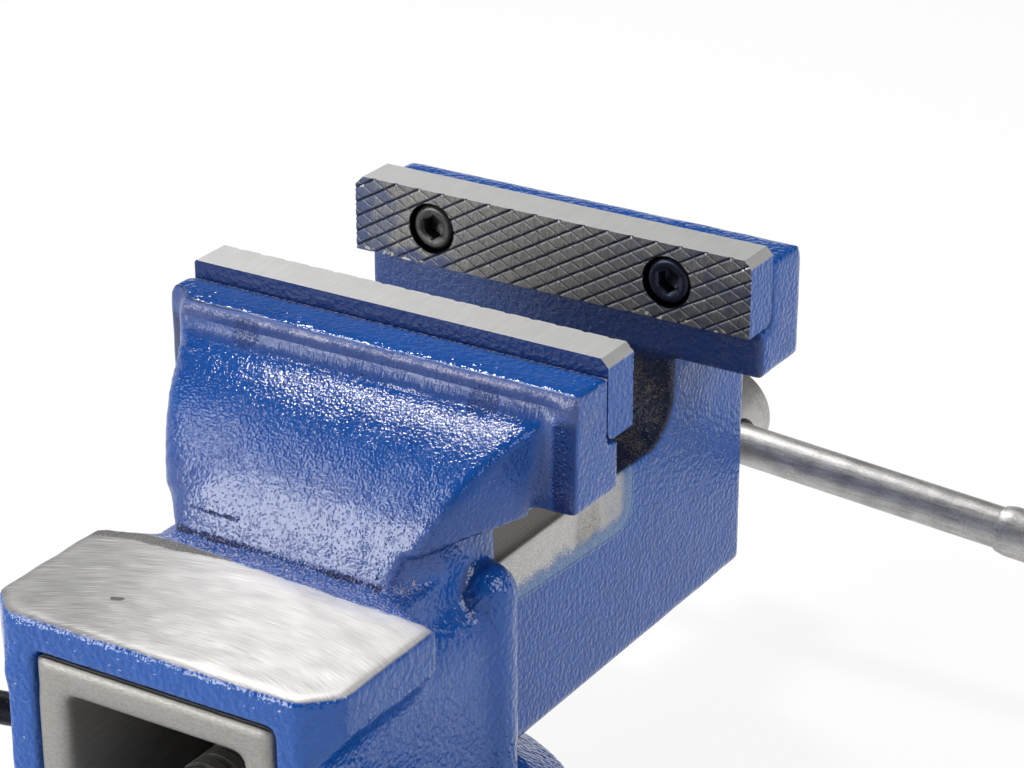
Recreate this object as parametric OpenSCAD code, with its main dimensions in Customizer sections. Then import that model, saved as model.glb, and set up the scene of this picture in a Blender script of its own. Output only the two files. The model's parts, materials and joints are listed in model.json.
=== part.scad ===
// Swivel bench vise with a square slide, an anvil and a lockable round base.
// Origin: centre of the base on the bench. +X runs along the jaws, +Y towards the handle, +Z is up.

/* [Jaws] */
// Width of both jaws
jaw_w = 125; // [110:1:140]
// Height of a jaw plate
plate_h = 22; // [18:0.5:25]
// Thickness of a jaw plate
plate_t = 12.5; // [11:0.5:16]
// Bevel at the upper ends of a jaw plate
plate_bevel = 2.2; // [0.5:0.1:4]
// Opening between the jaw plates as modelled
opening = 62; // [40:1:75]
// Height by which a plate stands above its jaw head
plate_proud = 4.5; // [2:0.5:8]
// Height of a jaw head
head_h = 32.2; // [29:0.1:36]
// Thickness of the fixed jaw's head behind its plate
head_t = 15.5; // [13:0.5:20]
// Thickness of the moving jaw's head behind its plate
moving_head_t = 17.5; // [13:0.5:20]
// Rounding of the upper back edge of a jaw head
head_round = 3; // [1:0.5:5]
// Depth of the ledge under a plate
ledge_t = 5; // [3:0.5:8]
// Relief slot between a plate and its ledge
ledge_gap = 1.4; // [0.8:0.1:3]
// Distance between the two screws of a plate
plate_screw_span = 74.5; // [60:0.5:90]
// Depth from the top of the jaws to the slide
throat = 60; // [56:1:70]

/* [Slide] */
// Width of the slide
slide_w = 70; // [62:1:76]
// Height of the slide
slide_h = 57; // [54:1:62]
// Length of the slide in front of the moving jaw's neck
slide_l = 189; // [180:1:200]
// Wall of the hollow slide
slide_wall = 9; // [7:0.5:11]
// Running clearance round the slide
slide_gap = 0.3; // [0.2:0.05:0.5]
// Length of the moving jaw's neck
neck_l = 42.5; // [38:0.5:50]
// How far the neck's front stands before the plate's seat
neck_lead = 3; // [1:0.5:6]
// Fillet between the neck and the slide
neck_fillet = 13; // [6:0.5:16]
// End wall of the neck, which carries the screw
neck_wall = 20; // [16:0.5:24]
// Height of the machined strip along the slide's upper edge
strip_h = 11; // [6:0.5:16]
// Depth of the machined strip
strip_t = 0.4; // [0.2:0.1:1]
// Length of slide left unmachined next to the neck
strip_end = 27; // [15:1:40]

/* [Fixed jaw] */
// Distance from the swivel axis to the fixed plate's seat
jaw_offset = 45; // [40:0.5:52]
// How far the housing's front lies behind the plate's seat
throat_setback = 12; // [6:0.5:15]
// Length of the housing
housing_l = 93; // [88:1:105]
// Side wall of the housing
body_wall = 9.5; // [8:0.5:12]
// Floor of the housing under the slide
floor_t = 10; // [8:0.5:14]
// Metal over the slide, up to the anvil's face
roof_t = 9.7; // [7:0.1:12]
// Width of the stem between the housing and the jaw head
stem_w = 75.4; // [66:0.2:80]
// Radius of the housing's shoulders
shoulder_r = 16; // [10:1:20]
// Height of the shoulders above the slide's channel
shoulder_rise = 4; // [2:0.5:6]
// Drop from the jaw head's top to the crown of the curved back
back_step = 7.5; // [5:0.5:12]
// Depth of the curved back's centre under the anvil's face
back_sink = 6.5; // [2:0.5:12]
// Distance of the curved back's centre behind the plate's seat
back_centre = 7; // [4:0.5:12]
// Radius between the curved back and the jaw head
back_fillet = 4; // [2:0.5:6]
// Angle at which the curved back narrows away from the jaw
fan_angle = 18.4; // [14:0.1:20]
// Angle at which the curved back narrows downwards
lean_angle = 10.6; // [6:0.1:12]
// Inset of the curved back from the jaw's ends
fan_inset = 0.8; // [0:0.1:3]
// Inset of the stem from the curved back's sides
stem_inset = 3.4; // [1:0.1:6]
// How far the curved back hangs below the jaw head
back_drop = 3.3; // [0.5:0.1:5]
// Radius of the round lobe at each side of the housing's mouth
lobe_r = 8.2; // [7:0.1:13]
// How far a lobe stands out from the housing
lobe_out = 3.4; // [2:0.1:6]
// How far a lobe rises above the slide's channel
lobe_rise = 7.7; // [4:0.1:12]
// Distance of a lobe behind the housing's mouth
lobe_back = 0.8; // [0:0.1:6]

/* [Anvil] */
// Width of the anvil
anvil_w = 100.4; // [94:0.2:110]
// Thickness of the anvil's overhanging edge
anvil_t = 12; // [8:0.5:16]
// Length over which the anvil widens from the stem
anvil_flare = 7.2; // [5:0.1:14]
// Corner cut at the anvil's end
anvil_corner = 8; // [4:0.5:12]
// How far the anvil's edge runs into the foot of the curved back
anvil_root = 3; // [2:0.5:6]
// Height of the slope under the anvil's edge
anvil_slope = 18; // [10:1:24]

/* [Swivel base] */
// Diameter of the base
base_d = 168; // [164:1:180]
// Height of the base
base_t = 18; // [17:0.5:24]
// Draw of the base's side towards the top
base_draft = 4; // [1:0.5:6]
// Width of the base's rim under the lip
rim_w = 9; // [7:0.5:10]
// Width of the lip that the vise turns on
lip_w = 9; // [7:0.5:10]
// Thickness of the lip
lip_t = 8; // [6:0.5:9]
// Diameter of the turntable flange under the housing
flange_d = 146; // [142:1:150]
// Thickness of the turntable flange
flange_t = 12; // [10:0.5:16]
// Depth of the turntable's spigot inside the lip
spigot_h = 7.5; // [5:0.5:7.5]
// Radial clearance of the spigot in the lip
spigot_gap = 0.06; // [0.02:0.01:0.1]
// Height of the slope from the flange to the housing
skirt_h = 7; // [4:0.5:8]
// Width of the slope from the flange to the housing
skirt_w = 14; // [8:0.5:18]
// Number of bench bolts
bolt_count = 4; // [3:1:6]
// Bolt circle of the bench bolts
bolt_pcd = 184; // [180:1:200]
// Diameter of the bench bolt holes
bolt_hole_d = 13; // [9:0.5:14]
// Diameter of a bolt lug
lug_d = 30; // [26:1:34]
// Thickness of a bolt lug
lug_t = 13; // [10:0.5:15]
// Diameter of the seat round a bolt hole
lug_seat_d = 24; // [20:0.5:26]
// Height of the seat round a bolt hole
lug_seat_t = 1.5; // [0.5:0.1:3]

/* [Screw and handle] */
// Diameter of the screw's thread
screw_d = 20; // [18:0.5:21]
// Pitch of the screw's thread
screw_pitch = 5; // [4:0.5:6]
// Depth of the screw's thread
thread_h = 2.4; // [1.5:0.1:3]
// Length of a thread flank along the screw
thread_flank = 0.9; // [0.5:0.1:1.2]
// Depth of the screw's axis under the slide's top
screw_drop = 40; // [37:0.5:42]
// Distance from the slide's end to the screw's tip
screw_tip = 2; // [0:0.5:20]
// Diameter of the screw's journal in the neck
journal_d = 22; // [21.5:0.5:23]
// Radial running clearance of the screw
screw_gap = 0.08; // [0.03:0.01:0.1]
// Diameter of the boss round the journal
boss_d = 34; // [30:0.5:34]
// Length of the boss
boss_l = 10; // [6:0.5:14]
// Diameter of the screw's shoulder
shoulder_d = 32; // [30:0.5:33]
// Length of the screw's shoulder
shoulder_l = 6; // [4:0.5:8]
// Diameter of the screw's head
knob_d = 29; // [27:0.5:31]
// Length of the screw's head
knob_l = 42; // [38:0.5:50]
// Edge bevel of the screw's head
knob_bevel = 2; // [1:0.1:3]
// Distance from the end of the screw's head to the handle bar
rod_inset = 20; // [14:0.5:22]
// Diameter of the handle bar
rod_d = 12.5; // [11:0.5:14]
// Radial clearance of the handle bar in the screw's head
rod_gap = 0.3; // [0.2:0.05:0.6]
// Length of handle bar between its end caps
rod_l = 170; // [150:1:190]
// How far the handle bar is pushed to the right
rod_shift = 15; // [-40:1:40]
// Tilt of the handle bar as modelled
rod_tilt = 4.2; // [0:0.1:10]
// Diameter of a handle end cap
cap_d = 15; // [14.5:0.5:20]
// Length of a handle end cap
cap_l = 13; // [10:0.5:18]
// Rounding of a handle end cap
cap_round = 3.5; // [1:0.5:5]
// Depth of the handle bar in an end cap
cap_depth = 8; // [5:0.5:8.5]
// Radial clearance of an end cap on the handle bar
cap_gap = 0.03; // [0.01:0.01:0.05]
// Thickness of the thrust washer
thrust_t = 2.5; // [1.5:0.1:4]

/* [Screw retention] */
// Thickness of the spring washer
spring_washer_t = 2; // [1:0.1:3]
// Diameter of the retaining collar and the spring washer
collar_d = 30; // [28:0.5:31]
// Length of the retaining collar
collar_l = 10; // [8:0.5:14]
// Diameter of the collar's pin
pin_d = 5; // [3:0.5:6]
// Radial clearance of the pin
pin_gap = 0.03; // [0.01:0.01:0.05]
// Length of the spring
spring_l = 20; // [16:0.5:26]
// Mean diameter of the spring
spring_d = 26.5; // [26:0.1:28]
// Diameter of the spring's wire
wire_d = 2.4; // [1.8:0.1:2.8]
// Turns of the spring
spring_turns = 4; // [3:1:6]

/* [Nut] */
// Width of the nut
nut_w = 42; // [38:0.5:46]
// Length of the nut
nut_l = 32; // [26:0.5:40]
// Metal of the nut over the screw
nut_cover = 6; // [4:0.5:8]
// Distance of the nut behind the housing's mouth
nut_inset = 6; // [2:0.5:16]
// Distance between the nut's two bolts
nut_bolt_span = 30; // [28:0.5:32]
// Diameter of the nut's bolts
nut_bolt_d = 8; // [6:0.5:8]
// Depth of the bolts in the nut
nut_bolt_depth = 9; // [6:0.5:10]
// Width across the flats of the nut's bolts
nut_bolt_flats = 13; // [11:0.5:13]
// Height of the heads of the nut's bolts
nut_bolt_head = 5.3; // [4:0.1:6]
// Diameter of the washers under those heads
nut_washer_d = 16; // [15.5:0.5:18]
// Thickness of the washers under those heads
nut_washer_t = 1.6; // [1:0.1:2]

/* [Plate screws] */
// Diameter of the plate screws
plate_screw_d = 8; // [6:0.5:8]
// Head diameter of the plate screws
plate_screw_head = 13; // [11:0.1:13]
// Head height of the plate screws
plate_screw_head_h = 8; // [6:0.1:8]
// Socket of the plate screws across the flats
plate_screw_socket = 6; // [4:0.5:6]
// Depth of the socket
plate_screw_socket_h = 4.5; // [3:0.1:5]
// Length of thread in the jaw head
plate_screw_l = 11; // [8:0.5:12]
// Diameter of the counterbore in a plate
counterbore_d = 14.5; // [13.5:0.1:16]
// Sink of a screw head under the plate's face
counterbore_sink = 0.7; // [0.2:0.1:1.2]

/* [Swivel lock] */
// Distance of a lock bolt's axis inside the base's lip
lock_inset = 8; // [7:0.5:9]
// Diameter of a lock bolt
lock_bolt_d = 10; // [8:0.5:10]
// Radial clearance of a fixed bolt in its hole
bolt_gap = 0.25; // [0.1:0.05:0.4]
// Length of a lock bolt's T head, along the radius
t_head_l = 26; // [22:0.5:27]
// Width of a lock bolt's T head
t_head_w = 16; // [12:0.5:18]
// Height of a lock bolt's T head
t_head_h = 6; // [4:0.5:6.5]
// Clearance of a T head under the lip
t_head_gap = 0.2; // [0.1:0.05:0.4]
// Diameter of a lock washer
lock_washer_d = 22; // [20:0.5:24]
// Thickness of a lock washer
lock_washer_t = 2; // [1:0.1:3]
// Diameter of a lever's hub
hub_d = 22; // [18:0.5:24]
// Height of a lever's hub
hub_h = 15; // [12:0.5:20]
// Radial running clearance of a hub on its bolt
hub_gap = 0.06; // [0.02:0.01:0.1]
// Length of bolt that shows above a hub
bolt_show = 3; // [1:0.5:6]
// Diameter of a lever's arm
arm_d = 9; // [7:0.5:10]
// Length of a lever's arm from its bolt
arm_l = 66; // [55:1:80]
// Slope of a lever's arm
arm_slope = 14; // [5:0.5:20]
// Swing of the levers as modelled
lever_swing = 35; // [0:1:80]
// Diameter of a lever's ball grip
grip_d = 17; // [14:0.5:18]
// Depth of an arm in its ball grip
grip_depth = 9; // [6:0.5:10]

/* [Hidden] */
$fn = 64;

// Length added to cuts so that they pass through, and length by which joined shapes overlap
pass = 1;
// Size of the blocks that trim the curved backs
trim = 4 * jaw_w;
// Points on a quarter circle of a drawn outline
arc_steps = 8;
// Flat sides of one turn of the screw's thread
thread_sides = 12;
// Sides of the spring's wire, and rings along one of its turns
wire_sides = 6;
curl_rings = 8;

// Heights
lip_z = base_t - lip_t;
flange_z = base_t + flange_t;
floor_z = flange_z + floor_t;
slide_z0 = floor_z + slide_gap;
slide_z = slide_z0 + slide_h;
roof_z = slide_z + slide_gap;
anvil_z = roof_z + roof_t;
jaw_z = slide_z + throat;
plate_z = jaw_z - plate_h;
plate_mid_z = plate_z + plate_h / 2;
head_z = jaw_z - plate_proud;
head_z0 = head_z - head_h;
ledge_z = plate_z - ledge_gap;
back_z0 = head_z0 - back_drop;
screw_z = slide_z - screw_drop;

// Places along the vise
seat_y = jaw_offset;
face_y = seat_y + plate_t;
moving_face_y = face_y + opening;
moving_seat_y = moving_face_y + plate_t;
mouth_y = seat_y - throat_setback;
rear_y = mouth_y - housing_l;
neck_y0 = moving_seat_y - neck_lead;
neck_y1 = neck_y0 + neck_l;
slide_y0 = neck_y0 - slide_l;
hollow_y1 = neck_y1 - neck_wall;
boss_y = neck_y1 + boss_l;
shoulder_y = boss_y + thrust_t;
knob_y0 = shoulder_y + shoulder_l;
knob_y1 = knob_y0 + knob_l;
rod_y = knob_y1 - rod_inset;
spring_y1 = hollow_y1 - spring_washer_t;
spring_y0 = spring_y1 - spring_l;
collar_y0 = spring_y0 - collar_l;
journal_y0 = collar_y0 - pass;
screw_y0 = slide_y0 + screw_tip;
nut_y1 = mouth_y - nut_inset;
nut_y0 = nut_y1 - nut_l;
nut_mid_y = (nut_y0 + nut_y1) / 2;

// Radii and half widths
base_r = base_d / 2;
recess_r = base_r - rim_w;
lip_r = recess_r - lip_w;
spigot_r = lip_r - spigot_gap;
lock_r = lip_r - lock_inset;
channel_half = slide_w / 2 + slide_gap;
housing_half = channel_half + body_wall;
hollow_half = slide_w / 2 - slide_wall;
hollow_z = slide_z - slide_wall;
journal_bore_r = journal_d / 2 + screw_gap;
back_r = head_z - back_step - (anvil_z - back_sink);
back_y = seat_y - back_centre;
foot_y = back_y - sqrt(pow(back_r, 2) - pow(back_sink, 2));
foot_half = jaw_w / 2 - fan_inset - stem_inset + (foot_y - seat_y) * tan(fan_angle)
    + (anvil_z - jaw_z) * tan(lean_angle) / cos(fan_angle);
moving_r = head_z - back_step - anvil_z;
moving_centre = moving_r - neck_l + neck_lead;
counterbore_h = plate_screw_head_h + counterbore_sink;
lever_z = flange_z + lock_washer_t;
hub_top_z = lever_z + hub_h + bolt_show;

// Points on an arc about a centre, from one angle to another
function arc(centre, radius, from, to) = [
    for (i = [0:arc_steps])
        let (angle = from + (to - from) * i / arc_steps)
            centre + radius * [cos(angle), sin(angle)]
];

// Cylinder along Y between two places, about the screw's axis
module along_y(diameter, y0, y1) {
    translate([0, y0, screw_z])
        rotate([-90, 0, 0])
            cylinder(d = diameter, h = y1 - y0);
}

// Outline in Y and Z, drawn through the full width along X
module across(width) {
    translate([-width / 2, 0, 0])
        rotate([90, 0, 90])
            linear_extrude(height = width)
                children();
}

// Outline in X and Z, drawn from one place along Y to another
module lengthwise(y0, y1) {
    translate([0, y1, 0])
        rotate([90, 0, 0])
            linear_extrude(height = y1 - y0)
                children();
}

// Copies to both sides of the middle plane
module both_sides() {
    children();
    mirror([1, 0, 0])
        children();
}

// Block between two corners
module block(low, high) {
    translate(low)
        cube(high - low);
}

// Wedge that narrows away from the jaw and downwards; the outside is trimmed off
module fan_trim(inset) {
    both_sides()
        translate([jaw_w / 2 - inset, 0, jaw_z])
            rotate([0, lean_angle, -fan_angle])
                translate([0, -trim / 2, -trim / 2])
                    cube(trim);
}

// Places the children where the swivel lock bolts stand
module at_locks() {
    for (side = [-1, 1])
        translate([side * lock_r, 0, 0])
            children();
}

// Places the children on the bench bolts' axes, with +X away from the middle
module at_bench_bolts() {
    step = 360 / bolt_count;
    for (i = [0:bolt_count - 1])
        rotate(step * (i + 0.5))
            translate([bolt_pcd / 2, 0, 0])
                children();
}

// Places the children on the axes of a plate's two screws, with +Z out of the plate's face
module at_plate_screws(face, turn) {
    for (side = [-1, 1])
        translate([side * plate_screw_span / 2, face, plate_mid_z])
            rotate([turn, 0, 0])
                children();
}

// Places the children on the axes of the nut's two bolts
module at_nut_bolts() {
    for (side = [-1, 1])
        translate([side * nut_bolt_span / 2, nut_mid_y, 0])
            children();
}

// Round base with an inner lip, bolt lugs and a recess for the T heads
module swivel_base() {
    color("royalblue")
        difference() {
            union() {
                rotate_extrude()
                    polygon([[lip_r, lip_z], [recess_r, lip_z], [recess_r, 0], [base_r, 0],
                             [base_r - base_draft, base_t], [lip_r, base_t]]);
                at_bench_bolts()
                    bolt_lug();
            }
            at_bench_bolts()
                translate([0, 0, -pass])
                    cylinder(d = bolt_hole_d, h = base_t + 2 * pass);
        }
}

// Lug with a raised seat, joined to the base's rim; its bolt hole is at zero
module bolt_lug() {
    lug_reach = bolt_pcd / 2 - recess_r - pass;
    linear_extrude(height = lug_t)
        union() {
            circle(d = lug_d);
            translate([-lug_reach, -lug_d / 2])
                square([lug_reach, lug_d]);
        }
    cylinder(d = lug_seat_d, h = lug_t + lug_seat_t);
}

// Outline of a jaw head with its ledge; the seat is at zero, the plate lies before it
module head_outline(thickness) {
    polygon(concat(
        [[ledge_t, head_z0], [ledge_t, ledge_z], [0, ledge_z], [0, head_z]],
        arc([-thickness + head_round, head_z - head_round], head_round, 90, 180),
        [[-thickness, head_z0]]
    ));
}

// Curved back of a jaw down to a level, with a hollow round under its head; the seat is at zero
module curved_back(thickness, radius, centre_y, centre_z, z0) {
    head_back = -thickness + pass;
    round_y = -thickness - back_fillet;
    round_z = centre_z + sqrt(pow(radius, 2) - pow(round_y - centre_y, 2)) + back_fillet;
    difference() {
        across(jaw_w - 2 * fan_inset) {
            intersection() {
                translate([centre_y, centre_z])
                    circle(r = radius);
                translate([centre_y - radius, z0])
                    square([head_back - centre_y + radius, radius + centre_z]);
            }
            polygon(concat(
                [[head_back, z0], [head_back, round_z]],
                arc([round_y, round_z], back_fillet, 0, -90),
                [[round_y, z0]]
            ));
        }
        fan_trim(fan_inset);
    }
}

// Stem under a curved back, as wide as what it stands on; the seat is at zero
module stem(width, radius, centre_y, centre_z, front_y, z0) {
    difference() {
        across(width)
            intersection() {
                translate([centre_y, centre_z])
                    circle(r = radius);
                translate([centre_y - radius, z0])
                    square([front_y - centre_y + radius, head_z0 + pass - z0]);
            }
        fan_trim(fan_inset + stem_inset);
    }
}

// Tapped holes for a plate's screws; they run from the seat into the jaw head
module plate_screw_holes(seat, turn) {
    at_plate_screws(seat, turn)
        translate([0, 0, -plate_screw_l - pass])
            cylinder(d = plate_screw_d + 2 * screw_gap, h = plate_screw_l + 2 * pass);
}

// Fixed jaw with its anvil, housing and turntable
module vise_body() {
    color("royalblue")
        difference() {
            union() {
                turntable();
                housing();
                anvil();
                translate([0, seat_y, 0])
                    fixed_jaw();
            }
            block([-channel_half, rear_y - pass, floor_z], [channel_half, mouth_y + pass, roof_z]);
            plate_screw_holes(seat_y, -90);
            at_locks() {
                cylinder(d = lock_bolt_d + 2 * bolt_gap, h = flange_z + pass);
                translate([0, 0, flange_z])
                    cylinder(d = max(hub_d, lock_washer_d) + 2 * pass, h = hub_top_z - flange_z);
            }
            at_nut_bolts()
                cylinder(d = nut_bolt_d + 2 * bolt_gap, h = floor_z + pass);
        }
}

// Flange, spigot and the slope that leads up to the housing
module turntable() {
    rotate_extrude()
        polygon([[0, base_t - spigot_h], [spigot_r, base_t - spigot_h], [spigot_r, base_t],
                 [flange_d / 2, base_t], [flange_d / 2, flange_z],
                 [flange_d / 2 - skirt_w, flange_z + skirt_h], [0, flange_z + skirt_h]]);
}

// Housing of the slide with rounded shoulders and a lobe at each side of its mouth
module housing() {
    shoulder_x = housing_half - shoulder_r;
    shoulder_z = roof_z + shoulder_rise - shoulder_r;
    lobe_x = housing_half + lobe_out - lobe_r;
    lobe_y = mouth_y - lobe_r - lobe_back;
    lobe_z = roof_z + lobe_rise - lobe_r;
    lengthwise(rear_y, mouth_y)
        polygon(concat(
            [[-housing_half, flange_z - pass], [housing_half, flange_z - pass]],
            arc([shoulder_x, shoulder_z], shoulder_r, 0, 90),
            arc([-shoulder_x, shoulder_z], shoulder_r, 90, 180)
        ));
    block([-stem_w / 2, rear_y + anvil_corner, shoulder_z], [stem_w / 2, mouth_y, anvil_z - pass]);
    both_sides()
        translate([lobe_x, lobe_y, 0]) {
            translate([0, 0, flange_z - pass])
                cylinder(r = lobe_r, h = lobe_z - flange_z + pass);
            translate([0, 0, lobe_z])
                sphere(r = lobe_r);
        }
}

// Flat anvil behind the curved back, wider than the housing
module anvil() {
    half = anvil_w / 2;
    root = foot_half - anvil_root;
    edge_z = anvil_z - anvil_t;
    flare_y = foot_y - anvil_flare;
    intersection() {
        lengthwise(rear_y, mouth_y)
            polygon([[-half, anvil_z], [-half, edge_z], [-channel_half - pass, edge_z - anvil_slope],
                     [channel_half + pass, edge_z - anvil_slope], [half, edge_z], [half, anvil_z]]);
        linear_extrude(height = jaw_z)
            polygon([[-root, foot_y + pass], [-half, flare_y], [-half, rear_y + anvil_corner],
                     [-half + anvil_corner, rear_y], [half - anvil_corner, rear_y],
                     [half, rear_y + anvil_corner], [half, flare_y], [root, foot_y + pass],
                     [root, mouth_y], [-root, mouth_y]]);
    }
}

// Head, curved back and stem of the fixed jaw; the plate's seat is at zero
module fixed_jaw() {
    centre_z = anvil_z - back_sink;
    across(jaw_w)
        head_outline(head_t);
    curved_back(head_t, back_r, -back_centre, centre_z, back_z0);
    stem(stem_w, back_r, -back_centre, centre_z, -throat_setback, roof_z - pass);
}

// Hardened plate with bevelled upper ends and counterbored screw holes; the seat is at zero
module jaw_plate() {
    half = jaw_w / 2;
    difference() {
        lengthwise(0, plate_t)
            polygon([[-half, plate_z], [half, plate_z], [half, jaw_z - plate_bevel],
                     [half - plate_bevel, jaw_z], [-half + plate_bevel, jaw_z],
                     [-half, jaw_z - plate_bevel]]);
        at_plate_screws(plate_t, -90) {
            translate([0, 0, -plate_t - pass])
                cylinder(d = plate_screw_d + 2 * bolt_gap, h = plate_t + 2 * pass);
            translate([0, 0, -counterbore_h])
                cylinder(d = counterbore_d, h = counterbore_h + pass);
        }
    }
}

// Two socket head screws; the plate's seat is at zero
module plate_screws() {
    head_base = plate_t - counterbore_h;
    at_plate_screws(0, -90)
        difference() {
            union() {
                translate([0, 0, -plate_screw_l])
                    cylinder(d = plate_screw_d, h = plate_screw_l + head_base + pass);
                translate([0, 0, head_base])
                    cylinder(d = plate_screw_head, h = plate_screw_head_h);
            }
            translate([0, 0, head_base + plate_screw_head_h - plate_screw_socket_h])
                cylinder(d = plate_screw_socket / cos(30), h = plate_screw_socket_h + pass, $fn = 6);
        }
}

// Turns a shape drawn for the fixed jaw round, so that it faces the other way at the moving seat
module at_moving_seat() {
    translate([0, moving_seat_y, 0])
        rotate(180)
            children();
}

module fixed_jaw_plate() {
    color("slategray")
        translate([0, seat_y, 0])
            jaw_plate();
}

module fixed_plate_screws() {
    color("dimgray")
        translate([0, seat_y, 0])
            plate_screws();
}

module moving_jaw_plate() {
    color("slategray")
        at_moving_seat()
            jaw_plate();
}

module moving_plate_screws() {
    color("dimgray")
        at_moving_seat()
            plate_screws();
}

// Moving jaw: head, curved back, neck and hollow slide in one casting
module moving_jaw() {
    half = slide_w / 2;
    color("royalblue")
        difference() {
            union() {
                block([-half, slide_y0, slide_z0], [half, neck_y1, slide_z]);
                block([-half, neck_y0, slide_z - pass], [half, neck_y1, anvil_z]);
                across(slide_w)
                    polygon(concat(
                        [[neck_y0 + pass, slide_z - pass], [neck_y0 + pass, slide_z + neck_fillet]],
                        arc([neck_y0 - neck_fillet, slide_z + neck_fillet], neck_fillet, 0, -90),
                        [[neck_y0 - neck_fillet, slide_z - pass]]
                    ));
                at_moving_seat() {
                    across(jaw_w)
                        head_outline(moving_head_t);
                    curved_back(moving_head_t, moving_r, moving_centre, anvil_z, back_z0);
                    stem(slide_w, moving_r, moving_centre, anvil_z, neck_lead, anvil_z - pass);
                }
                along_y(boss_d, neck_y1 - pass, boss_y);
            }
            block([-hollow_half, slide_y0 - pass, slide_z0 - pass], [hollow_half, hollow_y1, hollow_z]);
            along_y(2 * journal_bore_r, hollow_y1 - pass, boss_y + pass);
            plate_screw_holes(moving_seat_y, 90);
            both_sides()
                block([half - strip_t, slide_y0 - pass, slide_z - strip_h],
                      [half + pass, neck_y0 - strip_end, slide_z + pass]);
        }
}

// Flat ring along the screw's axis
module screw_ring(outer, bore, y0, y1) {
    difference() {
        along_y(outer, y0, y1);
        along_y(bore, y0 - pass, y1 + pass);
    }
}

module thrust_washer() {
    color("silver")
        screw_ring(shoulder_d, 2 * journal_bore_r, boss_y, shoulder_y);
}

module spring_washer() {
    color("silver")
        screw_ring(collar_d, 2 * journal_bore_r, spring_y1, hollow_y1);
}

module retaining_collar() {
    color("silver")
        difference() {
            screw_ring(collar_d, 2 * journal_bore_r, collar_y0, spring_y0);
            pin_shape(collar_d + 2 * pass, pin_gap);
        }
}

// Pin across the screw, in the middle of the retaining collar
module pin_shape(length, gap) {
    translate([-length / 2, collar_y0 + collar_l / 2, screw_z])
        rotate([0, 90, 0])
            cylinder(d = pin_d + 2 * gap, h = length);
}

module collar_pin() {
    color("gray")
        pin_shape(collar_d - 2 * pin_gap, 0);
}

// Two triangles of a four sided face, seen from outside
function quad(a, b, c, d) = [[a, c, b], [a, d, c]];

// Point of the thread at a step along its helix
function thread_point(step, radius, rise) =
    let (angle = 360 * step / thread_sides)
        [radius * cos(angle), radius * sin(angle), screw_pitch * step / thread_sides + rise];

// Ring of points round the thread's core
function core_ring(radius, z) = [
    for (i = [0:thread_sides - 1])
        let (angle = 360 * i / thread_sides)
            [radius * cos(angle), radius * sin(angle), z]
];

// Thread along +Z as one closed skin: a ridge with sloping flanks that winds round a core
module thread(length) {
    crest = screw_d / 2;
    root = crest - thread_h;
    land = screw_pitch / 2 - thread_flank;
    s = thread_sides;
    n = s * (floor((length - 2 * pass) / screw_pitch) - 1);
    points = concat(
        [for (i = [0:n + s]) thread_point(i, root, 0)],
        [for (i = [0:n]) thread_point(i, root, land)],
        [for (i = [0:n]) thread_point(i, crest, land + thread_flank)],
        [for (i = [0:n]) thread_point(i, crest, 2 * land + thread_flank)],
        core_ring(root, -pass),
        core_ring(root, length - pass)
    );
    foot = n + s + 1;
    rise = foot + n + 1;
    fall = rise + n + 1;
    low = fall + n + 1;
    high = low + s;
    ridge = [for (i = [0:n - 1]) each concat(
        quad(i, i + 1, foot + i + 1, foot + i),
        quad(foot + i, foot + i + 1, rise + i + 1, rise + i),
        quad(rise + i, rise + i + 1, fall + i + 1, fall + i),
        quad(fall + i, fall + i + 1, i + s + 1, i + s)
    )];
    first_end = quad(foot, rise, fall, s);
    last_end = quad(rise + n, foot + n, n + s, fall + n);
    low_wall = [for (i = [0:s - 2]) each quad(low + i, low + i + 1, i + 1, i)];
    low_seam = [[s - 1, low, low + s - 1], [s - 1, 0, low], [s - 1, foot, 0], [s - 1, s, foot]];
    high_wall = [for (i = [1:s - 1]) each quad(n + i, n + i + 1, high + (i + 1) % s, high + i)];
    high_seam = [[n + 1, high, high + 1], [n + 1, n + s, high], [n + 1, foot + n, n + s],
                 [n + 1, n, foot + n]];
    low_cap = [for (i = [1:s - 2]) [low, low + i, low + i + 1]];
    high_cap = [for (i = [1:s - 2]) [high, high + i + 1, high + i]];
    polyhedron(points, concat(ridge, first_end, last_end, low_wall, low_seam, high_wall, high_seam,
                              low_cap, high_cap));
}

// Screw: thread, journal, shoulder and round head with the handle's cross hole
module lead_screw() {
    color("lightgray")
        difference() {
            union() {
                translate([0, screw_y0 + pass, screw_z])
                    rotate([-90, 0, 0])
                        thread(journal_y0 - screw_y0 + pass);
                along_y(journal_d, journal_y0, shoulder_y + pass);
                along_y(shoulder_d, shoulder_y, knob_y0);
                translate([0, knob_y0 - pass, screw_z])
                    rotate([-90, 0, 0])
                        rotate_extrude()
                            polygon([[0, 0], [knob_d / 2, 0], [knob_d / 2, knob_l + pass - knob_bevel],
                                     [knob_d / 2 - knob_bevel, knob_l + pass], [0, knob_l + pass]]);
            }
            pin_shape(journal_d + 2 * pass, pin_gap);
            along_rod(-knob_d / 2 - pass, knob_d / 2 + pass, rod_d + 2 * rod_gap);
        }
}

// Cylinder along the handle bar's tilted axis, between two distances from the screw's axis
module along_rod(from, to, diameter) {
    translate([0, rod_y, screw_z])
        rotate([0, 90 + rod_tilt, 0])
            translate([0, 0, from])
                cylinder(d = diameter, h = to - from);
}

module handle_rod() {
    color("silver")
        along_rod(rod_shift - rod_l / 2 - cap_depth, rod_shift + rod_l / 2 + cap_depth, rod_d);
}

// Rounded end cap, pressed over the end of the handle bar; side is 1 on the right, -1 on the left
module handle_cap(side) {
    color("silver")
        translate([0, rod_y, screw_z])
            rotate([0, 90 + rod_tilt, 0])
                translate([0, 0, rod_shift + side * rod_l / 2])
                    mirror([0, 0, side < 0 ? 1 : 0])
                        cap_shape();
}

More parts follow.
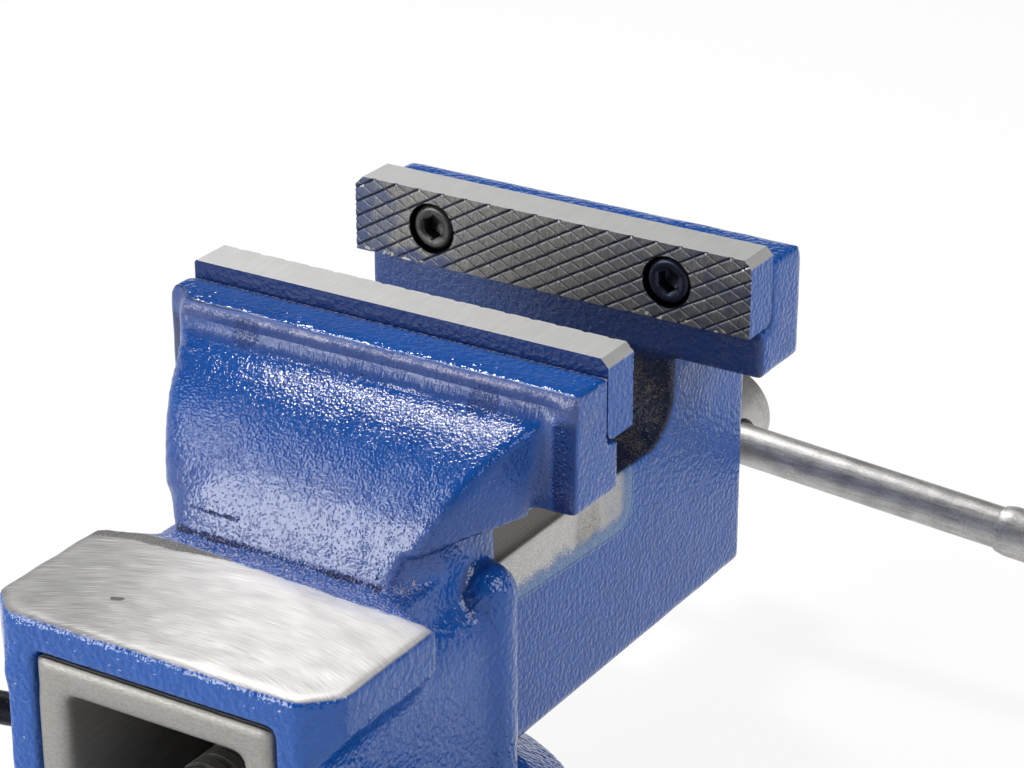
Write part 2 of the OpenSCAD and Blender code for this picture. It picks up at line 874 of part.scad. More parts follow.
module cap_shape() {
    rotate_extrude()
        polygon(concat(
            [[rod_d / 2 + cap_gap, 0], [cap_d / 2, 0]],
            arc([cap_d / 2 - cap_round, cap_l - cap_round], cap_round, 0, 90),
            [[0, cap_l], [0, cap_depth], [rod_d / 2 + cap_gap, cap_depth]]
        ));
}

module handle_cap_right() {
    handle_cap(1);
}

module handle_cap_left() {
    handle_cap(-1);
}

// Rings along the spring, and the climb of one turn
spring_rings = spring_turns * curl_rings;
spring_rise = (spring_l - wire_d) / spring_turns;

// Middle of the spring's wire at a ring
function coil_point(ring) =
    let (angle = 360 * ring / curl_rings)
        [spring_d / 2 * cos(angle), spring_d / 2 * sin(angle),
         wire_d / 2 + spring_rise * ring / curl_rings];

// Point on the wire's skin at a ring
function wire_point(ring, side) =
    let (angle = 360 * ring / curl_rings, around = 360 * side / wire_sides)
        coil_point(ring) + wire_d / 2 * [cos(around) * cos(angle), cos(around) * sin(angle), sin(around)];

// Least distance between neighbouring turns of the wire
spring_clear = min([for (i = [0:spring_rings - curl_rings])
    norm(coil_point(i + curl_rings) - coil_point(i))]) - wire_d;
echo(spring_least_gap = spring_clear);

module screw_spring() {
    points = [for (ring = [0:spring_rings]) for (side = [0:wire_sides - 1]) wire_point(ring, side)];
    last = spring_rings * wire_sides;
    walls = [for (ring = [0:spring_rings - 1]) for (side = [0:wire_sides - 1])
        let (a = ring * wire_sides + side, b = ring * wire_sides + (side + 1) % wire_sides)
            each quad(b, a, a + wire_sides, b + wire_sides)];
    start = [for (i = [1:wire_sides - 2]) [0, i + 1, i]];
    finish = [for (i = [1:wire_sides - 2]) [last, last + i, last + i + 1]];
    color("gray")
        translate([0, spring_y0, screw_z])
            rotate([-90, 0, 0])
                polyhedron(points, concat(walls, start, finish));
}

// Nut on the housing's floor, inside the hollow slide
module main_nut() {
    color("goldenrod")
        difference() {
            block([-nut_w / 2, nut_y0, floor_z], [nut_w / 2, nut_y1, screw_z + screw_d / 2 + nut_cover]);
            along_y(screw_d + 2 * screw_gap, nut_y0 - pass, nut_y1 + pass);
            at_nut_bolts()
                translate([0, 0, floor_z - pass])
                    cylinder(d = nut_bolt_d + 2 * screw_gap, h = nut_bolt_depth + 2 * pass);
        }
}

// Hexagon bolts from under the floor into the nut
module nut_bolts() {
    head_z1 = base_t - spigot_h - nut_washer_t;
    color("dimgray")
        at_nut_bolts() {
            translate([0, 0, head_z1 - nut_bolt_head])
                cylinder(d = nut_bolt_flats / cos(30), h = nut_bolt_head, $fn = 6);
            translate([0, 0, head_z1 - pass])
                cylinder(d = nut_bolt_d, h = floor_z + nut_bolt_depth - head_z1 + pass);
        }
}

module nut_washers() {
    color("silver")
        at_nut_bolts()
            translate([0, 0, base_t - spigot_h - nut_washer_t])
                washer(nut_washer_d, nut_bolt_d + 2 * bolt_gap, nut_washer_t);
}

// Flat washer
module washer(outer, bore, height) {
    difference() {
        cylinder(d = outer, h = height);
        translate([0, 0, -pass])
            cylinder(d = bore, h = height + 2 * pass);
    }
}

// Swivel lock bolts; their T heads catch under the base's lip
module lock_bolts() {
    t_head_z = lip_z - t_head_gap - t_head_h;
    color("dimgray")
        at_locks() {
            translate([-t_head_l / 2, -t_head_w / 2, t_head_z])
                cube([t_head_l, t_head_w, t_head_h]);
            translate([0, 0, t_head_z])
                cylinder(d = lock_bolt_d, h = hub_top_z - t_head_z);
        }
}

module lock_washers() {
    color("silver")
        at_locks()
            translate([0, 0, flange_z])
                washer(lock_washer_d, lock_bolt_d + 2 * bolt_gap, lock_washer_t);
}

// Places the children along a lever's arm, with +Z out along the arm; the lever points to +X
module on_arm() {
    translate([lock_r, 0, lever_z + hub_h / 2])
        rotate(-lever_swing)
            rotate([0, 90 - arm_slope, 0])
                children();
}

// Lever with a hub that screws down on its lock bolt
module lever() {
    color("dimgray")
        difference() {
            union() {
                translate([lock_r, 0, lever_z])
                    cylinder(d = hub_d, h = hub_h);
                on_arm()
                    cylinder(d = arm_d, h = arm_l + grip_depth - grip_d / 2);
            }
            translate([lock_r, 0, lever_z - pass])
                cylinder(d = lock_bolt_d + 2 * hub_gap, h = hub_h + 2 * pass);
        }
}

// Ball grip at the end of a lever's arm
module lever_grip() {
    color("black")
        on_arm()
            difference() {
                translate([0, 0, arm_l])
                    sphere(d = grip_d);
                cylinder(d = arm_d + 2 * cap_gap, h = arm_l + grip_depth - grip_d / 2);
            }
}

module lock_lever_right() {
    lever();
}

module lock_lever_left() {
    mirror([1, 0, 0])
        lever();
}

module lever_grip_right() {
    lever_grip();
}

module lever_grip_left() {
    mirror([1, 0, 0])
        lever_grip();
}

swivel_base();
vise_body();
fixed_jaw_plate();
fixed_plate_screws();
main_nut();
nut_bolts();
nut_washers();
lock_bolts();
lock_washers();
lock_lever_right();
lock_lever_left();
lever_grip_right();
lever_grip_left();
moving_jaw();
moving_jaw_plate();
moving_plate_screws();
thrust_washer();
lead_screw();
spring_washer();
screw_spring();
retaining_collar();
collar_pin();
handle_rod();
handle_cap_right();
handle_cap_left();
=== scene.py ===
import json
import math

import bmesh
import bpy
import numpy as np
from mathutils import Matrix, Vector, noise


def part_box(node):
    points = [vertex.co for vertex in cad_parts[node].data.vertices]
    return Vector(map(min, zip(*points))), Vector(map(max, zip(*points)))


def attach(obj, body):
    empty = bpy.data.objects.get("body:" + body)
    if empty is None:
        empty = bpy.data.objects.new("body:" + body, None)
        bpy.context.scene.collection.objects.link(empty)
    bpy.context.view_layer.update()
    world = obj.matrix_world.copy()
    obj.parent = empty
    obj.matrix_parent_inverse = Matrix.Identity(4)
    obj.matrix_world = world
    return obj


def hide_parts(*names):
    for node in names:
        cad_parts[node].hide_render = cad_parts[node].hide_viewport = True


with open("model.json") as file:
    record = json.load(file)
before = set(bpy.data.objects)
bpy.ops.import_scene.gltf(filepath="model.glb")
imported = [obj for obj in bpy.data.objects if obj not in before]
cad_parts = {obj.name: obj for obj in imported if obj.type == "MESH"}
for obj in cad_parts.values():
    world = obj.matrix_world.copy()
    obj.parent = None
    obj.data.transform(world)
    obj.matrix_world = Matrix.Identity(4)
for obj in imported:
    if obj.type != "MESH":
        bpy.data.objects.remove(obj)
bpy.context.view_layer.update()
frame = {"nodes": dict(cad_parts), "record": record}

# Sizes are in millimetres; a metre holds a thousand of them
MM = 0.001


def box_mm(node):
    """Lowest and highest corner of a solid, in millimetres."""
    low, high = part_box(node)
    return low / MM, high / MM


def mount_mm(name):
    """Place of a mount, in millimetres."""
    found = next(m for m in frame["record"]["mounts"] if m["name"] == name)
    return Vector(found["pos_m"]) / MM


# Places of the vise, read from the frame
FIXED_LOW, FIXED_HIGH = box_mm("fixed_jaw_plate")
MOVING_LOW, MOVING_HIGH = box_mm("moving_jaw_plate")
SCREW_LOW, SCREW_HIGH = box_mm("lead_screw")
SCREW_Z = (SCREW_LOW.z + SCREW_HIGH.z) / 2
ANVIL_Z = mount_mm("anvil_face").z
JAW_TOP = FIXED_HIGH.z
JAW_HALF = FIXED_HIGH.x
SEAT_Y = FIXED_LOW.y
FACE_Y = FIXED_HIGH.y
MOVING_FACE_Y = MOVING_LOW.y
MOVING_SEAT_Y = MOVING_HIGH.y
PLATE_Z = FIXED_LOW.z
PLATE_MID_Z = (PLATE_Z + JAW_TOP) / 2
HEAD_Z = box_mm("vise_body")[1].z
HEAD_HALF = JAW_HALF
HEAD_BACK = SEAT_Y - 15.5
SLIDE_Z = JAW_TOP - 60
SLIDE_HALF = 35
NECK_Y = MOVING_SEAT_Y - 3


# Shader and geometry nodes

class Value:
    """A socket's value: arithmetic on it adds Math nodes to its tree."""

    def __init__(self, nodes, socket):
        self.nodes = nodes
        self.socket = socket

    def __add__(self, other):
        return self.nodes.math("ADD", self, other)

    def __radd__(self, other):
        return self.nodes.math("ADD", other, self)

    def __sub__(self, other):
        return self.nodes.math("SUBTRACT", self, other)

    def __rsub__(self, other):
        return self.nodes.math("SUBTRACT", other, self)

    def __mul__(self, other):
        return self.nodes.math("MULTIPLY", self, other)

    def __rmul__(self, other):
        return self.nodes.math("MULTIPLY", other, self)

    def __truediv__(self, other):
        return self.nodes.math("DIVIDE", self, other)

    def __neg__(self):
        return self.nodes.math("MULTIPLY", self, -1.0)

    def __abs__(self):
        return self.nodes.math("ABSOLUTE", self)

    def least(self, other):
        return self.nodes.math("MINIMUM", self, other)

    def most(self, other):
        return self.nodes.math("MAXIMUM", self, other)


class Nodes:
    """A node tree that is written with Python calls."""

    def __init__(self, tree):
        self.tree = tree
        self.tree.nodes.clear()

    def node(self, kind, settings=None, sockets=None, out=0):
        """Adds a node: its settings first, then its sockets' values or links; gives one output."""
        made = self.tree.nodes.new(kind)
        for name, value in (settings or {}).items():
            setattr(made, name, value)
        for key, value in (sockets or {}).items():
            if isinstance(value, Value):
                self.tree.links.new(value.socket, made.inputs[key])
            else:
                made.inputs[key].default_value = value
        return Value(self, made.outputs[out]) if made.outputs else None

    def math(self, operation, first, second=0.0):
        return self.node("ShaderNodeMath", {"operation": operation}, {0: first, 1: second})

    def join(self, x=0.0, y=0.0, z=0.0):
        return self.node("ShaderNodeCombineXYZ", {}, {0: x, 1: y, 2: z})

    def split(self, vector):
        parts = self.node("ShaderNodeSeparateXYZ", {}, {0: vector})
        return [Value(self, output) for output in parts.socket.node.outputs]

    def vector(self, operation, first, second, out="Vector"):
        settings = {"operation": operation}
        return self.node("ShaderNodeVectorMath", settings, {0: first, 1: second}, out)

    def length(self, vector):
        return self.vector("LENGTH", vector, (0.0, 0.0, 0.0), "Value")

    def scaled(self, vector, factor):
        return self.node("ShaderNodeVectorMath", {"operation": "SCALE"}, {0: vector, "Scale": factor})

    def step(self, value, low, high):
        """Runs smoothly from 0 at low to 1 at high; low may be the larger."""
        settings = {"interpolation_type": "SMOOTHSTEP"}
        if low <= high:
            return self.node("ShaderNodeMapRange", settings, {0: value, 1: low, 2: high})
        return self.node("ShaderNodeMapRange", settings, {0: value, 1: high, 2: low, 3: 1.0, 4: 0.0})

    def grain(self, vector, size, detail=2.0, rough=0.5):
        """Noise about zero, with cells of the given size."""
        sockets = {"Vector": vector, "Scale": 1.0 / size, "Detail": detail, "Roughness": rough}
        return self.node("ShaderNodeTexNoise", {}, sockets) - 0.5

    def cells(self, vector, size):
        """Distance to the nearest of many scattered points, as a share of their spacing."""
        return self.node("ShaderNodeTexVoronoi", {}, {"Vector": vector, "Scale": 1.0 / size})


class Finish(Nodes):
    """A material: node() adds to it, and its shader's sockets are set by name."""

    def __init__(self, name, **constants):
        self.material = bpy.data.materials.new(name)
        self.material.use_nodes = True
        super().__init__(self.material.node_tree)
        self.shader = self.tree.nodes.new("ShaderNodeBsdfPrincipled")
        self.node("ShaderNodeOutputMaterial", {}, {"Surface": Value(self, self.shader.outputs[0])})
        for name, value in constants.items():
            self.shader.inputs[name].default_value = value
        here = self.node("ShaderNodeTexCoord", out="Object")
        self.place = self.scaled(here, 1 / MM)
        self.x, self.y, self.z = self.split(self.place)
        facing = self.node("ShaderNodeTexCoord", out="Normal")
        self.facing_x, self.facing_y, self.facing_z = self.split(facing)

    def feed(self, socket, value):
        self.tree.links.new(value.socket, self.shader.inputs[socket])

    def mix(self, share, first, second):
        """Colour between two colours."""
        sockets = {0: share}
        for key, colour in ((6, first), (7, second)):
            sockets[key] = colour if isinstance(colour, Value) else (*colour, 1.0)
        return self.node("ShaderNodeMix", {"data_type": "RGBA"}, sockets, 2)

    def blend(self, share, first, second):
        """Number between two numbers."""
        return first + (second - first) * share

    def relief(self, height):
        """Bump from a height in millimetres."""
        bump = self.node("ShaderNodeBump", {}, {"Strength": 1.0, "Distance": MM, "Height": height})
        self.feed("Normal", bump)

    def inside(self, value, low, high, soft):
        """1 between two limits, with soft ends."""
        return self.step(value, low - soft, low + soft) * self.step(value, high + soft, high - soft)

    def stretched(self, x=1.0, y=1.0, z=1.0):
        """Object coordinates with each axis divided by a length."""
        return self.vector("DIVIDE", self.place, (x, y, z))

    def along(self, start, end):
        """Distance from a straight line between two points."""
        run = Vector(end) - Vector(start)
        offset = self.vector("SUBTRACT", self.place, tuple(start))
        share = self.vector("DOT_PRODUCT", offset, tuple(run / run.length_squared), "Value")
        share = share.most(0.0).least(1.0)
        nearest = self.scaled(tuple(run), share)
        return self.vector("DISTANCE", offset, nearest, "Value")

    def around(self, centre):
        """Distance from a point."""
        return self.vector("DISTANCE", self.place, tuple(centre), "Value")


# Meshes

def link(mesh, name):
    piece = bpy.data.objects.new(name, mesh)
    bpy.context.scene.collection.objects.link(piece)
    return piece


def settle(piece):
    """Turns a piece's modifiers into plain mesh."""
    graph = bpy.context.evaluated_depsgraph_get()
    made = bpy.data.meshes.new_from_object(piece.evaluated_get(graph))
    piece.modifiers.clear()
    old = piece.data
    piece.data = made
    bpy.data.meshes.remove(old)


def merged(mesh, distance=0.002):
    """Joins vertices that lie together, and turns the faces outwards."""
    work = bmesh.new()
    work.from_mesh(mesh)
    bmesh.ops.remove_doubles(work, verts=work.verts, dist=distance * MM)
    bmesh.ops.dissolve_degenerate(work, edges=work.edges, dist=distance * MM)
    bmesh.ops.recalc_face_normals(work, faces=work.faces)
    work.to_mesh(mesh)
    work.free()


def solid_copy(node, name):
    """Copy of a solid as one closed skin."""
    mesh = frame["nodes"][node].data.copy()
    mesh.materials.clear()
    merged(mesh)
    return link(mesh, name)


def recast(piece, cell):
    """Even skin of small cells over a solid."""
    skin = piece.modifiers.new("skin", "REMESH")
    skin.mode = "VOXEL"
    skin.voxel_size = cell * MM
    skin.use_smooth_shade = True
    settle(piece)


def points(mesh):
    place = np.empty(len(mesh.vertices) * 3)
    mesh.vertices.foreach_get("co", place)
    return place.reshape(-1, 3) / MM


def outward(mesh):
    facing = np.empty(len(mesh.vertices) * 3)
    mesh.vertices.foreach_get("normal", facing)
    return facing.reshape(-1, 3)


def move_to(mesh, place):
    mesh.vertices.foreach_set("co", (place * MM).ravel())
    mesh.update()


def smooth_step(value, low, high):
    """Runs smoothly from 0 at low to 1 at high."""
    share = np.clip((value - low) / (high - low), 0.0, 1.0)
    return share * share * (3 - 2 * share)


def soften(mesh, weight, rounds, fill_only=False):
    """Evens a skin out; with fill_only it only fills hollow corners, so that they become fillets."""
    ends = np.empty(len(mesh.edges) * 2, int)
    mesh.edges.foreach_get("vertices", ends)
    ends = ends.reshape(-1, 2)
    count = len(mesh.vertices)
    one, other = np.concatenate([ends, ends[:, ::-1]]).T
    neighbours = np.bincount(one, minlength=count)
    for _ in range(rounds):
        place = points(mesh)
        total = [np.bincount(one, place[other, axis], count) for axis in range(3)]
        move = np.stack(total, 1) / neighbours[:, None] - place
        if fill_only:
            move *= ((move * outward(mesh)).sum(1) > 0)[:, None]
        move_to(mesh, place + move * weight[:, None])


def lumps(place, size):
    """Slow waves over a skin, from -1 to 1."""
    return np.array([noise.noise(Vector(p)) for p in place / size])


def dress(piece, body, slot, finish, *nodes):
    """Gives a finished piece its material and its body, and hides the solids that it stands for; the slot is
    not used.
    """
    piece.data.materials.clear()
    piece.data.materials.append(finish.material)
    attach(piece, body)
    if nodes:
        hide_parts(*nodes)


# Castings

CAST_CELL = 1.25
LOCK_X = 58.0
TURNTABLE_R = 74.0
STEM_SWELL = 2.6
LEFT_SWELL = 1.4
END_THINNING = 6.1


def cast_body():
    """Fixed jaw, anvil and housing: a casting with filled corners and a thin left end."""
    piece = solid_copy("vise_body", "vise_body_casting")
    recast(piece, CAST_CELL)
    mesh = piece.data
    x, y, z = points(mesh).T
    soften(mesh, np.full(len(x), 0.5), 2)
    # Machined places keep their shape
    channel = (abs(x) < SLIDE_HALF + 2) & (z > 38) & (z < 99)
    seat = (y > SEAT_Y - 1) & (z > 118)
    locks = (np.hypot(abs(x) - LOCK_X, y) < 15) & (z < 53)
    under = z < 31
    free = ~(channel | seat | locks | under)
    # Corners that stay narrow
    foot = (z < 113) & (z > 100) & (y < 3) & (y > -22) & (abs(x) < 46)
    lobes = (x > 22) & (z < 118.5) & (z > 96) & (y < 40)
    wall = (z > 146.6) & (y > HEAD_BACK - 5) & (y < HEAD_BACK + 4)
    soften(mesh, free * 0.5, 5, fill_only=True)
    soften(mesh, (free & ~foot & ~lobes & ~wall) * 0.5, 21, fill_only=True)
    place = points(mesh)
    x, y, z = place.T
    stem_side = smooth_step(-x, 27, 31) * smooth_step(z, 106.5, 109.5) * smooth_step(-z, -118, -117)
    place[:, 0] -= STEM_SWELL * stem_side * (y < 30)
    move_to(mesh, place)
    left_side = free & (x < -24) & (z > 108) & (z < 142) & (y < 27)
    soften(mesh, left_side * smooth_step(-x, 24, 32) * 0.5, 14)
    soften(mesh, free * 0.4, 2)
    place = points(mesh)
    x, y, z = place.T
    thin_end = smooth_step(-x, 53, 61) * smooth_step(SEAT_Y - y, 2, 9) * smooth_step(z, 108, 118)
    place[:, 1] += END_THINNING * thin_end
    place[:, 0] -= LEFT_SWELL * free * smooth_step(-x, 36, 44) * smooth_step(z, 84, 94) * (y < SEAT_Y)
    wave = 0.2 * lumps(place, 9.0) + 0.12 * lumps(place + 40, 4.5)
    rough = free & (np.hypot(x, y) < 90)
    place += outward(mesh) * (wave * rough)[:, None]
    move_to(mesh, place)
    return piece


def cast_jaw():
    """Moving jaw with its neck and slide."""
    piece = solid_copy("moving_jaw", "moving_jaw_casting")
    recast(piece, CAST_CELL * 1.15)
    mesh = piece.data
    x, y, z = points(mesh).T
    soften(mesh, np.full(len(x), 0.5), 2)
    slide = y < NECK_Y - 14
    seat = (y < MOVING_SEAT_Y + 1) & (z > 118)
    bore = np.hypot(x, z - SCREW_Z) < 19
    hollow = (abs(x) < 27) & (z < 90)
    free = ~(slide | seat | bore | hollow)
    soften(mesh, free * 0.5, 30, fill_only=True)
    place = points(mesh)
    wave = 0.14 * lumps(place + 90, 9.0) + 0.08 * lumps(place, 4.5)
    place += outward(mesh) * (wave * free)[:, None]
    move_to(mesh, place)
    return piece


def cast_base():
    """Round swivel base with its bolt lugs."""
    piece = solid_copy("swivel_base", "swivel_base_casting")
    recast(piece, CAST_CELL)
    mesh = piece.data
    x, y, z = points(mesh).T
    soften(mesh, np.full(len(x), 0.5), 2)
    free = (np.hypot(x, y) > TURNTABLE_R) & (z > 1)
    soften(mesh, free * 0.5, 14, fill_only=True)
    return piece


# Paint and bare metal

ENAMEL_IOR = 1.385
BODY_IOR = 1.5
GLOSS = 0.085
BLUE = (0.004, 0.067, 0.298)
DEEP_BLUE = (0.004, 0.040, 0.21)
# Dark blue tint: painted shade on the body, and the colour of its scars and foot speckles
NAVY = (0.003, 0.012, 0.075)
# Lavender: dust, and painted sheen and highlights
DUST_AND_SHEEN_BLUE = (0.24, 0.235, 0.36)
PALE_STEEL = (0.72, 0.71, 0.69)


def most_of(first, *others):
    """Largest of several values."""
    for other in others:
        first = first.most(other)
    return first


def enamel(f, bare, steel, steel_rough, height, shade_and_marks, tint, dust_and_sheen=0.0, dull=0.0, deep=0.0):
    """Glossy blue enamel on a rough casting, bare where it was machined; its tint carries painted shade and
    some marks, its lavender carries dust and painted sheen.
    """
    cloud = f.step(f.grain(f.place, 14.0), -0.25, 0.25)
    fine = f.grain(f.place, 0.9, 2.0)
    paint = f.mix(cloud * 0.3 + fine * 0.9, BLUE, DEEP_BLUE)
    paint = f.mix(shade_and_marks, paint, tint)
    paint = f.mix(dust_and_sheen, paint, DUST_AND_SHEEN_BLUE)
    f.feed("Base Color", f.mix(bare, paint, steel))
    f.feed("Metallic", bare * 0.45 + deep * 0.5)
    gloss = f.grain(f.place, 6.0) * 0.05 + GLOSS + shade_and_marks * 0.12 + dull * 0.4
    f.feed("Roughness", f.blend(bare, gloss, steel_rough))
    f.relief(height)
    return f


def peel(f):
    """Orange peel of thick enamel: crisp small waves and broader ones, calmer on level faces."""
    level = f.blend(f.step(f.facing_z, 0.965, 0.99), 1.0, 0.75)
    return f.grain(f.place, 0.7, 1.0) * level, f.grain(f.place, 1.45, 0.8) * level


ANVIL_LEAN = 0.054
PAINT_EDGE = (-12.4, -11.2)
ARC_CENTRE = (10.0, -122.0, 0.0)
ANVIL_TONES = (0.15, 0.15, 0.148), (0.68, 0.655, 0.63)
RUST_TONES = (0.05, 0.052, 0.06), (0.17, 0.155, 0.14)
DENT_GREY = (0.08, 0.08, 0.08)
RIM_LEFT = (-56.0, -18.0, ANVIL_Z)
RIM_TURN = (-40.0, -12.6, ANVIL_Z)
RIM_RIGHT = (-12.0, -11.0, ANVIL_Z)
DENT_ENDS = (-24.0, -42.0, ANVIL_Z), (-22.4, -41.2, ANVIL_Z)


def brushed(f, wander):
    """Streaks along wide arcs, and a painted highlight across the anvil, so that its tone darkens to the
    left.
    """
    flat = f.join(f.x, f.y, 0.0)
    radius = f.vector("DISTANCE", flat, ARC_CENTRE, "Value")
    turn = f.math("ARCTAN2", f.y - ARC_CENTRE[1], f.x - ARC_CENTRE[0])
    streak = f.grain(f.join(radius / 0.26, turn * 9.0, 0.0), 1.0, 4.0, 0.65)
    broad = f.grain(f.join(radius / 1.6, turn * 4.0, 7.0), 1.0, 3.0)
    # Painted highlight: brighter to the right, darker to the left
    tone = f.step(f.x + f.y * 0.6 + wander * 8.0, -66.0, -2.0)
    share = tone * 0.58 + streak * 1.5 + broad * 0.14 + 0.14
    return f.mix(share, *ANVIL_TONES), streak


def anvil_steel(f, wander, speck, edge):
    """Bare anvil with thin paint, a rusty rim and a dent: where it is, its colour and its height."""
    on_top = f.inside(f.z, ANVIL_Z - 0.7, ANVIL_Z + 0.7, 0.3)
    steel, streak = brushed(f, wander)
    overspray = f.step(edge + wander * 6.0, -18.0, -12.5) * f.step(f.x, -8.0, 8.0)
    steel = f.mix(overspray * f.step(streak, -0.1, 0.2) * 0.7, steel, BLUE)
    rim = f.along(RIM_TURN, RIM_RIGHT) + f.step(f.x, -30.0, -12.0) * 1.6
    rim = f.along(RIM_LEFT, RIM_TURN).least(rim)
    rim = f.step(rim + wander * 1.8 + speck * 1.4, 2.5, 1.6) * f.step(f.z, ANVIL_Z - 4.0, ANVIL_Z - 2.0)
    steel = f.mix(rim, steel, f.mix(f.step(speck, -0.2, 0.2), *RUST_TONES))
    dent = f.step(f.along(*DENT_ENDS) + speck * 0.6, 1.0, 0.5)
    steel = f.mix(dent, steel, DENT_GREY)
    bare = (on_top * f.step(edge, *PAINT_EDGE[::-1])).most(rim)
    height = (streak * 0.02 + speck * rim * 0.2) * bare - dent * 0.3
    return bare, steel, height


# Start, end and narrowing of the creases at the curved back's foot
CREASES = (
    ((-35.0, -6.2, 109.2), (-4.0, -6.6, 109.2), 0.0),
    ((-4.0, -6.6, 109.2), (29.0, -6.6, 108.8), 0.0),
    ((-29.8, -4.3, 114.8), (-14.4, -4.2, 114.9), 0.45),
    ((27.8, -5.5, 110.3), (29.0, 0.9, 125.4), 0.4))
LEFT_SCAR = (-35.0, 28.6, 148.5)
RIGHT_SCAR = (37.0, 28.6, 146.6)
SEAM_ENDS = (-9.0, 28.0, 144.3), (4.0, 26.8, 143.6)
LOBE_CENTRE = (43.5, 21.0, 100.0)
JOINT_LILAC = (0.62, 0.5, 0.56)
GROOVE_TOP = 152.4
GROOVE_FOOT = 144.6
GROOVE_SHADE_FOOT = 148.0
GROOVE_SHADE_FOOT_RIGHT = 146.2
STEM_HALF = 55.6


def body_enamel():
    """Enamel of the fixed jaw: rough on the curved back, with a bare brushed anvil."""
    f = Finish("body_enamel", IOR=BODY_IOR)
    wander = f.grain(f.place, 5.0, 3.0)
    speck = f.grain(f.place, 0.55, 2.0)
    small, broad = peel(f)
    edge = f.y + f.x * ANVIL_LEAN + wander * 2.0 + speck * 1.6
    bare, steel, bare_height = anvil_steel(f, wander, speck, edge)

    # Curved back: pitted below under a painted lavender sheen, with painted shade in its holes and in the
    # creases of its foot, and a scarred band at its top; the whole back carries a light painted shade.
    back = f.step(f.z, ANVIL_Z + 0.5, ANVIL_Z + 3) * f.step(f.facing_y, -0.15, -0.4)
    low = back * f.step(f.z + wander * 6.0, 133.0, 121.0)
    pits = f.step(f.cells(f.place, 1.05) + f.grain(f.place, 3.0) * 0.5, 0.36, 0.22) * low
    holes = f.step(f.cells(f.place, 15.0), 0.045, 0.02) * back
    foot = f.inside(f.z, ANVIL_Z - 1.0, ANVIL_Z + 2.6, 1.0)
    foot = foot * f.step(edge, *PAINT_EDGE) * f.step(f.y, 4.0, 0.0)
    ragged = wander * 1.6 + speck * 1.5 + small * 1.2
    nearest = f.along(*CREASES[0][:2])
    for start, end, narrow in CREASES[1:]:
        nearest = nearest.least(f.along(start, end) + narrow)
    crease = (1 - (nearest + ragged).most(0.0) / 0.8).most(0.0)
    scars = f.around(LEFT_SCAR).least(f.around(RIGHT_SCAR))
    scar = f.step(scars + wander * 2.0, 4.6, 3.4) * f.step(speck + small, -0.06, 0.1)
    seam = f.step(f.along(*SEAM_ENDS), 0.8, 0.2)

    lean_left = (f.x + 16.0).least(0.0)
    band = back * f.step(f.z, 144.2, 146.0)
    brush = f.grain(f.stretched(0.5, 6.0, 6.0), 1.0, 2.0)
    calm = f.blend(low, 0.25, 0.115) * f.blend(band, 1.0, 0.35)
    groove = ((GROOVE_TOP - f.z + wander * 1.2) * 0.5).least((f.z - GROOVE_FOOT + wander) * 0.4).most(0.0)
    groove = groove * back * f.step(abs(f.x), 59.0, 53.0)
    waves = small * calm * f.blend(back, 0.4, 1.0) + broad * f.blend(back, 0.5, 0.12) + brush * band * 0.12
    height = waves * (1 - bare) - pits * 0.16 - holes * 0.5 - crease * 0.75 - scar * 0.35
    height = height + seam * 0.3 + speck * foot * 0.35 - lean_left * lean_left * back * 0.0036
    height = height + bare_height - groove

    joint = f.step(f.y, SEAT_Y - 1.25, SEAT_Y - 0.85) * f.step(f.z, HEAD_Z - 1.2, HEAD_Z - 0.6)
    joint = joint * f.step(f.grain(f.stretched(1.1, 9.0, 9.0), 1.0, 3.0), -0.05, 0.05)
    steel = f.mix(joint, steel, JOINT_LILAC)
    bare = bare.most(joint)

    # Head: painted shade in the groove and painted highlight flecks under its edge, a painted sheen ribbon
    # and painted shadow strips beside the curved back, painted shade on the flank, round the lobe and on the
    # head top's left part
    # Painted shade in the groove under the head's edge
    groove_shade_foot = f.blend(f.step(f.x, 42.0, 46.0), GROOVE_SHADE_FOOT, GROOVE_SHADE_FOOT_RIGHT)
    groove_shade = back * f.step(f.z + wander * 3.0 + speck * 1.6 - groove_shade_foot, -0.6, 1.6)
    groove_shade = groove_shade * f.step(f.z + speck * 1.4, 152.6, 151.4)
    edge_y, edge_z = HEAD_BACK + 1.2, HEAD_Z - 0.4
    off_edge = f.along((-HEAD_HALF, edge_y, edge_z), (HEAD_HALF, edge_y, edge_z))
    # Painted highlight flecks along the head's rounded edge
    highlight_flecks = f.step(off_edge, 2.4, 1.2) * f.step(speck + wander * 0.6, -0.08, 0.12)
    highlight_flecks = highlight_flecks * f.step(f.facing_z, 0.9, 0.7)
    corner = f.step(f.z, 147.5, 145.5) * f.step(f.z, ANVIL_Z + 6, ANVIL_Z + 9)
    face = corner * f.step(f.facing_y, -0.5, -0.8) * f.step(f.y, HEAD_BACK - 1.2, HEAD_BACK - 0.6)
    # Painted sheen on the ribbon, painted shadow in the strip beside it
    ribbon = face * f.inside(abs(f.x) + speck * 1.2, STEM_HALF - 4.0, STEM_HALF + 0.4, 0.6)
    shadow = face * f.step(abs(f.x) + speck * 0.8, STEM_HALF, STEM_HALF + 1.4)
    # Painted shade on the side face beside the curved back
    flank = f.step(f.facing_x, 0.5, 0.8) * f.step(f.y, HEAD_BACK - 1.0, HEAD_BACK - 3.0)
    flank = flank * f.step(f.z, ANVIL_Z, ANVIL_Z + 6)
    # Painted shade in a ring round the lobe
    lobe = f.inside(f.around(LOBE_CENTRE) + wander * 1.5, 4.8, 8.2, 0.8) * f.step(f.x, 43.5, 41.0)
    # Painted shade on the left part of the head's top
    head_left = f.step(f.facing_z, 0.9, 0.97) * f.step(f.z, HEAD_Z - 1.5, HEAD_Z - 0.8)
    head_left = head_left * f.step(f.x, 10.0, -50.0)

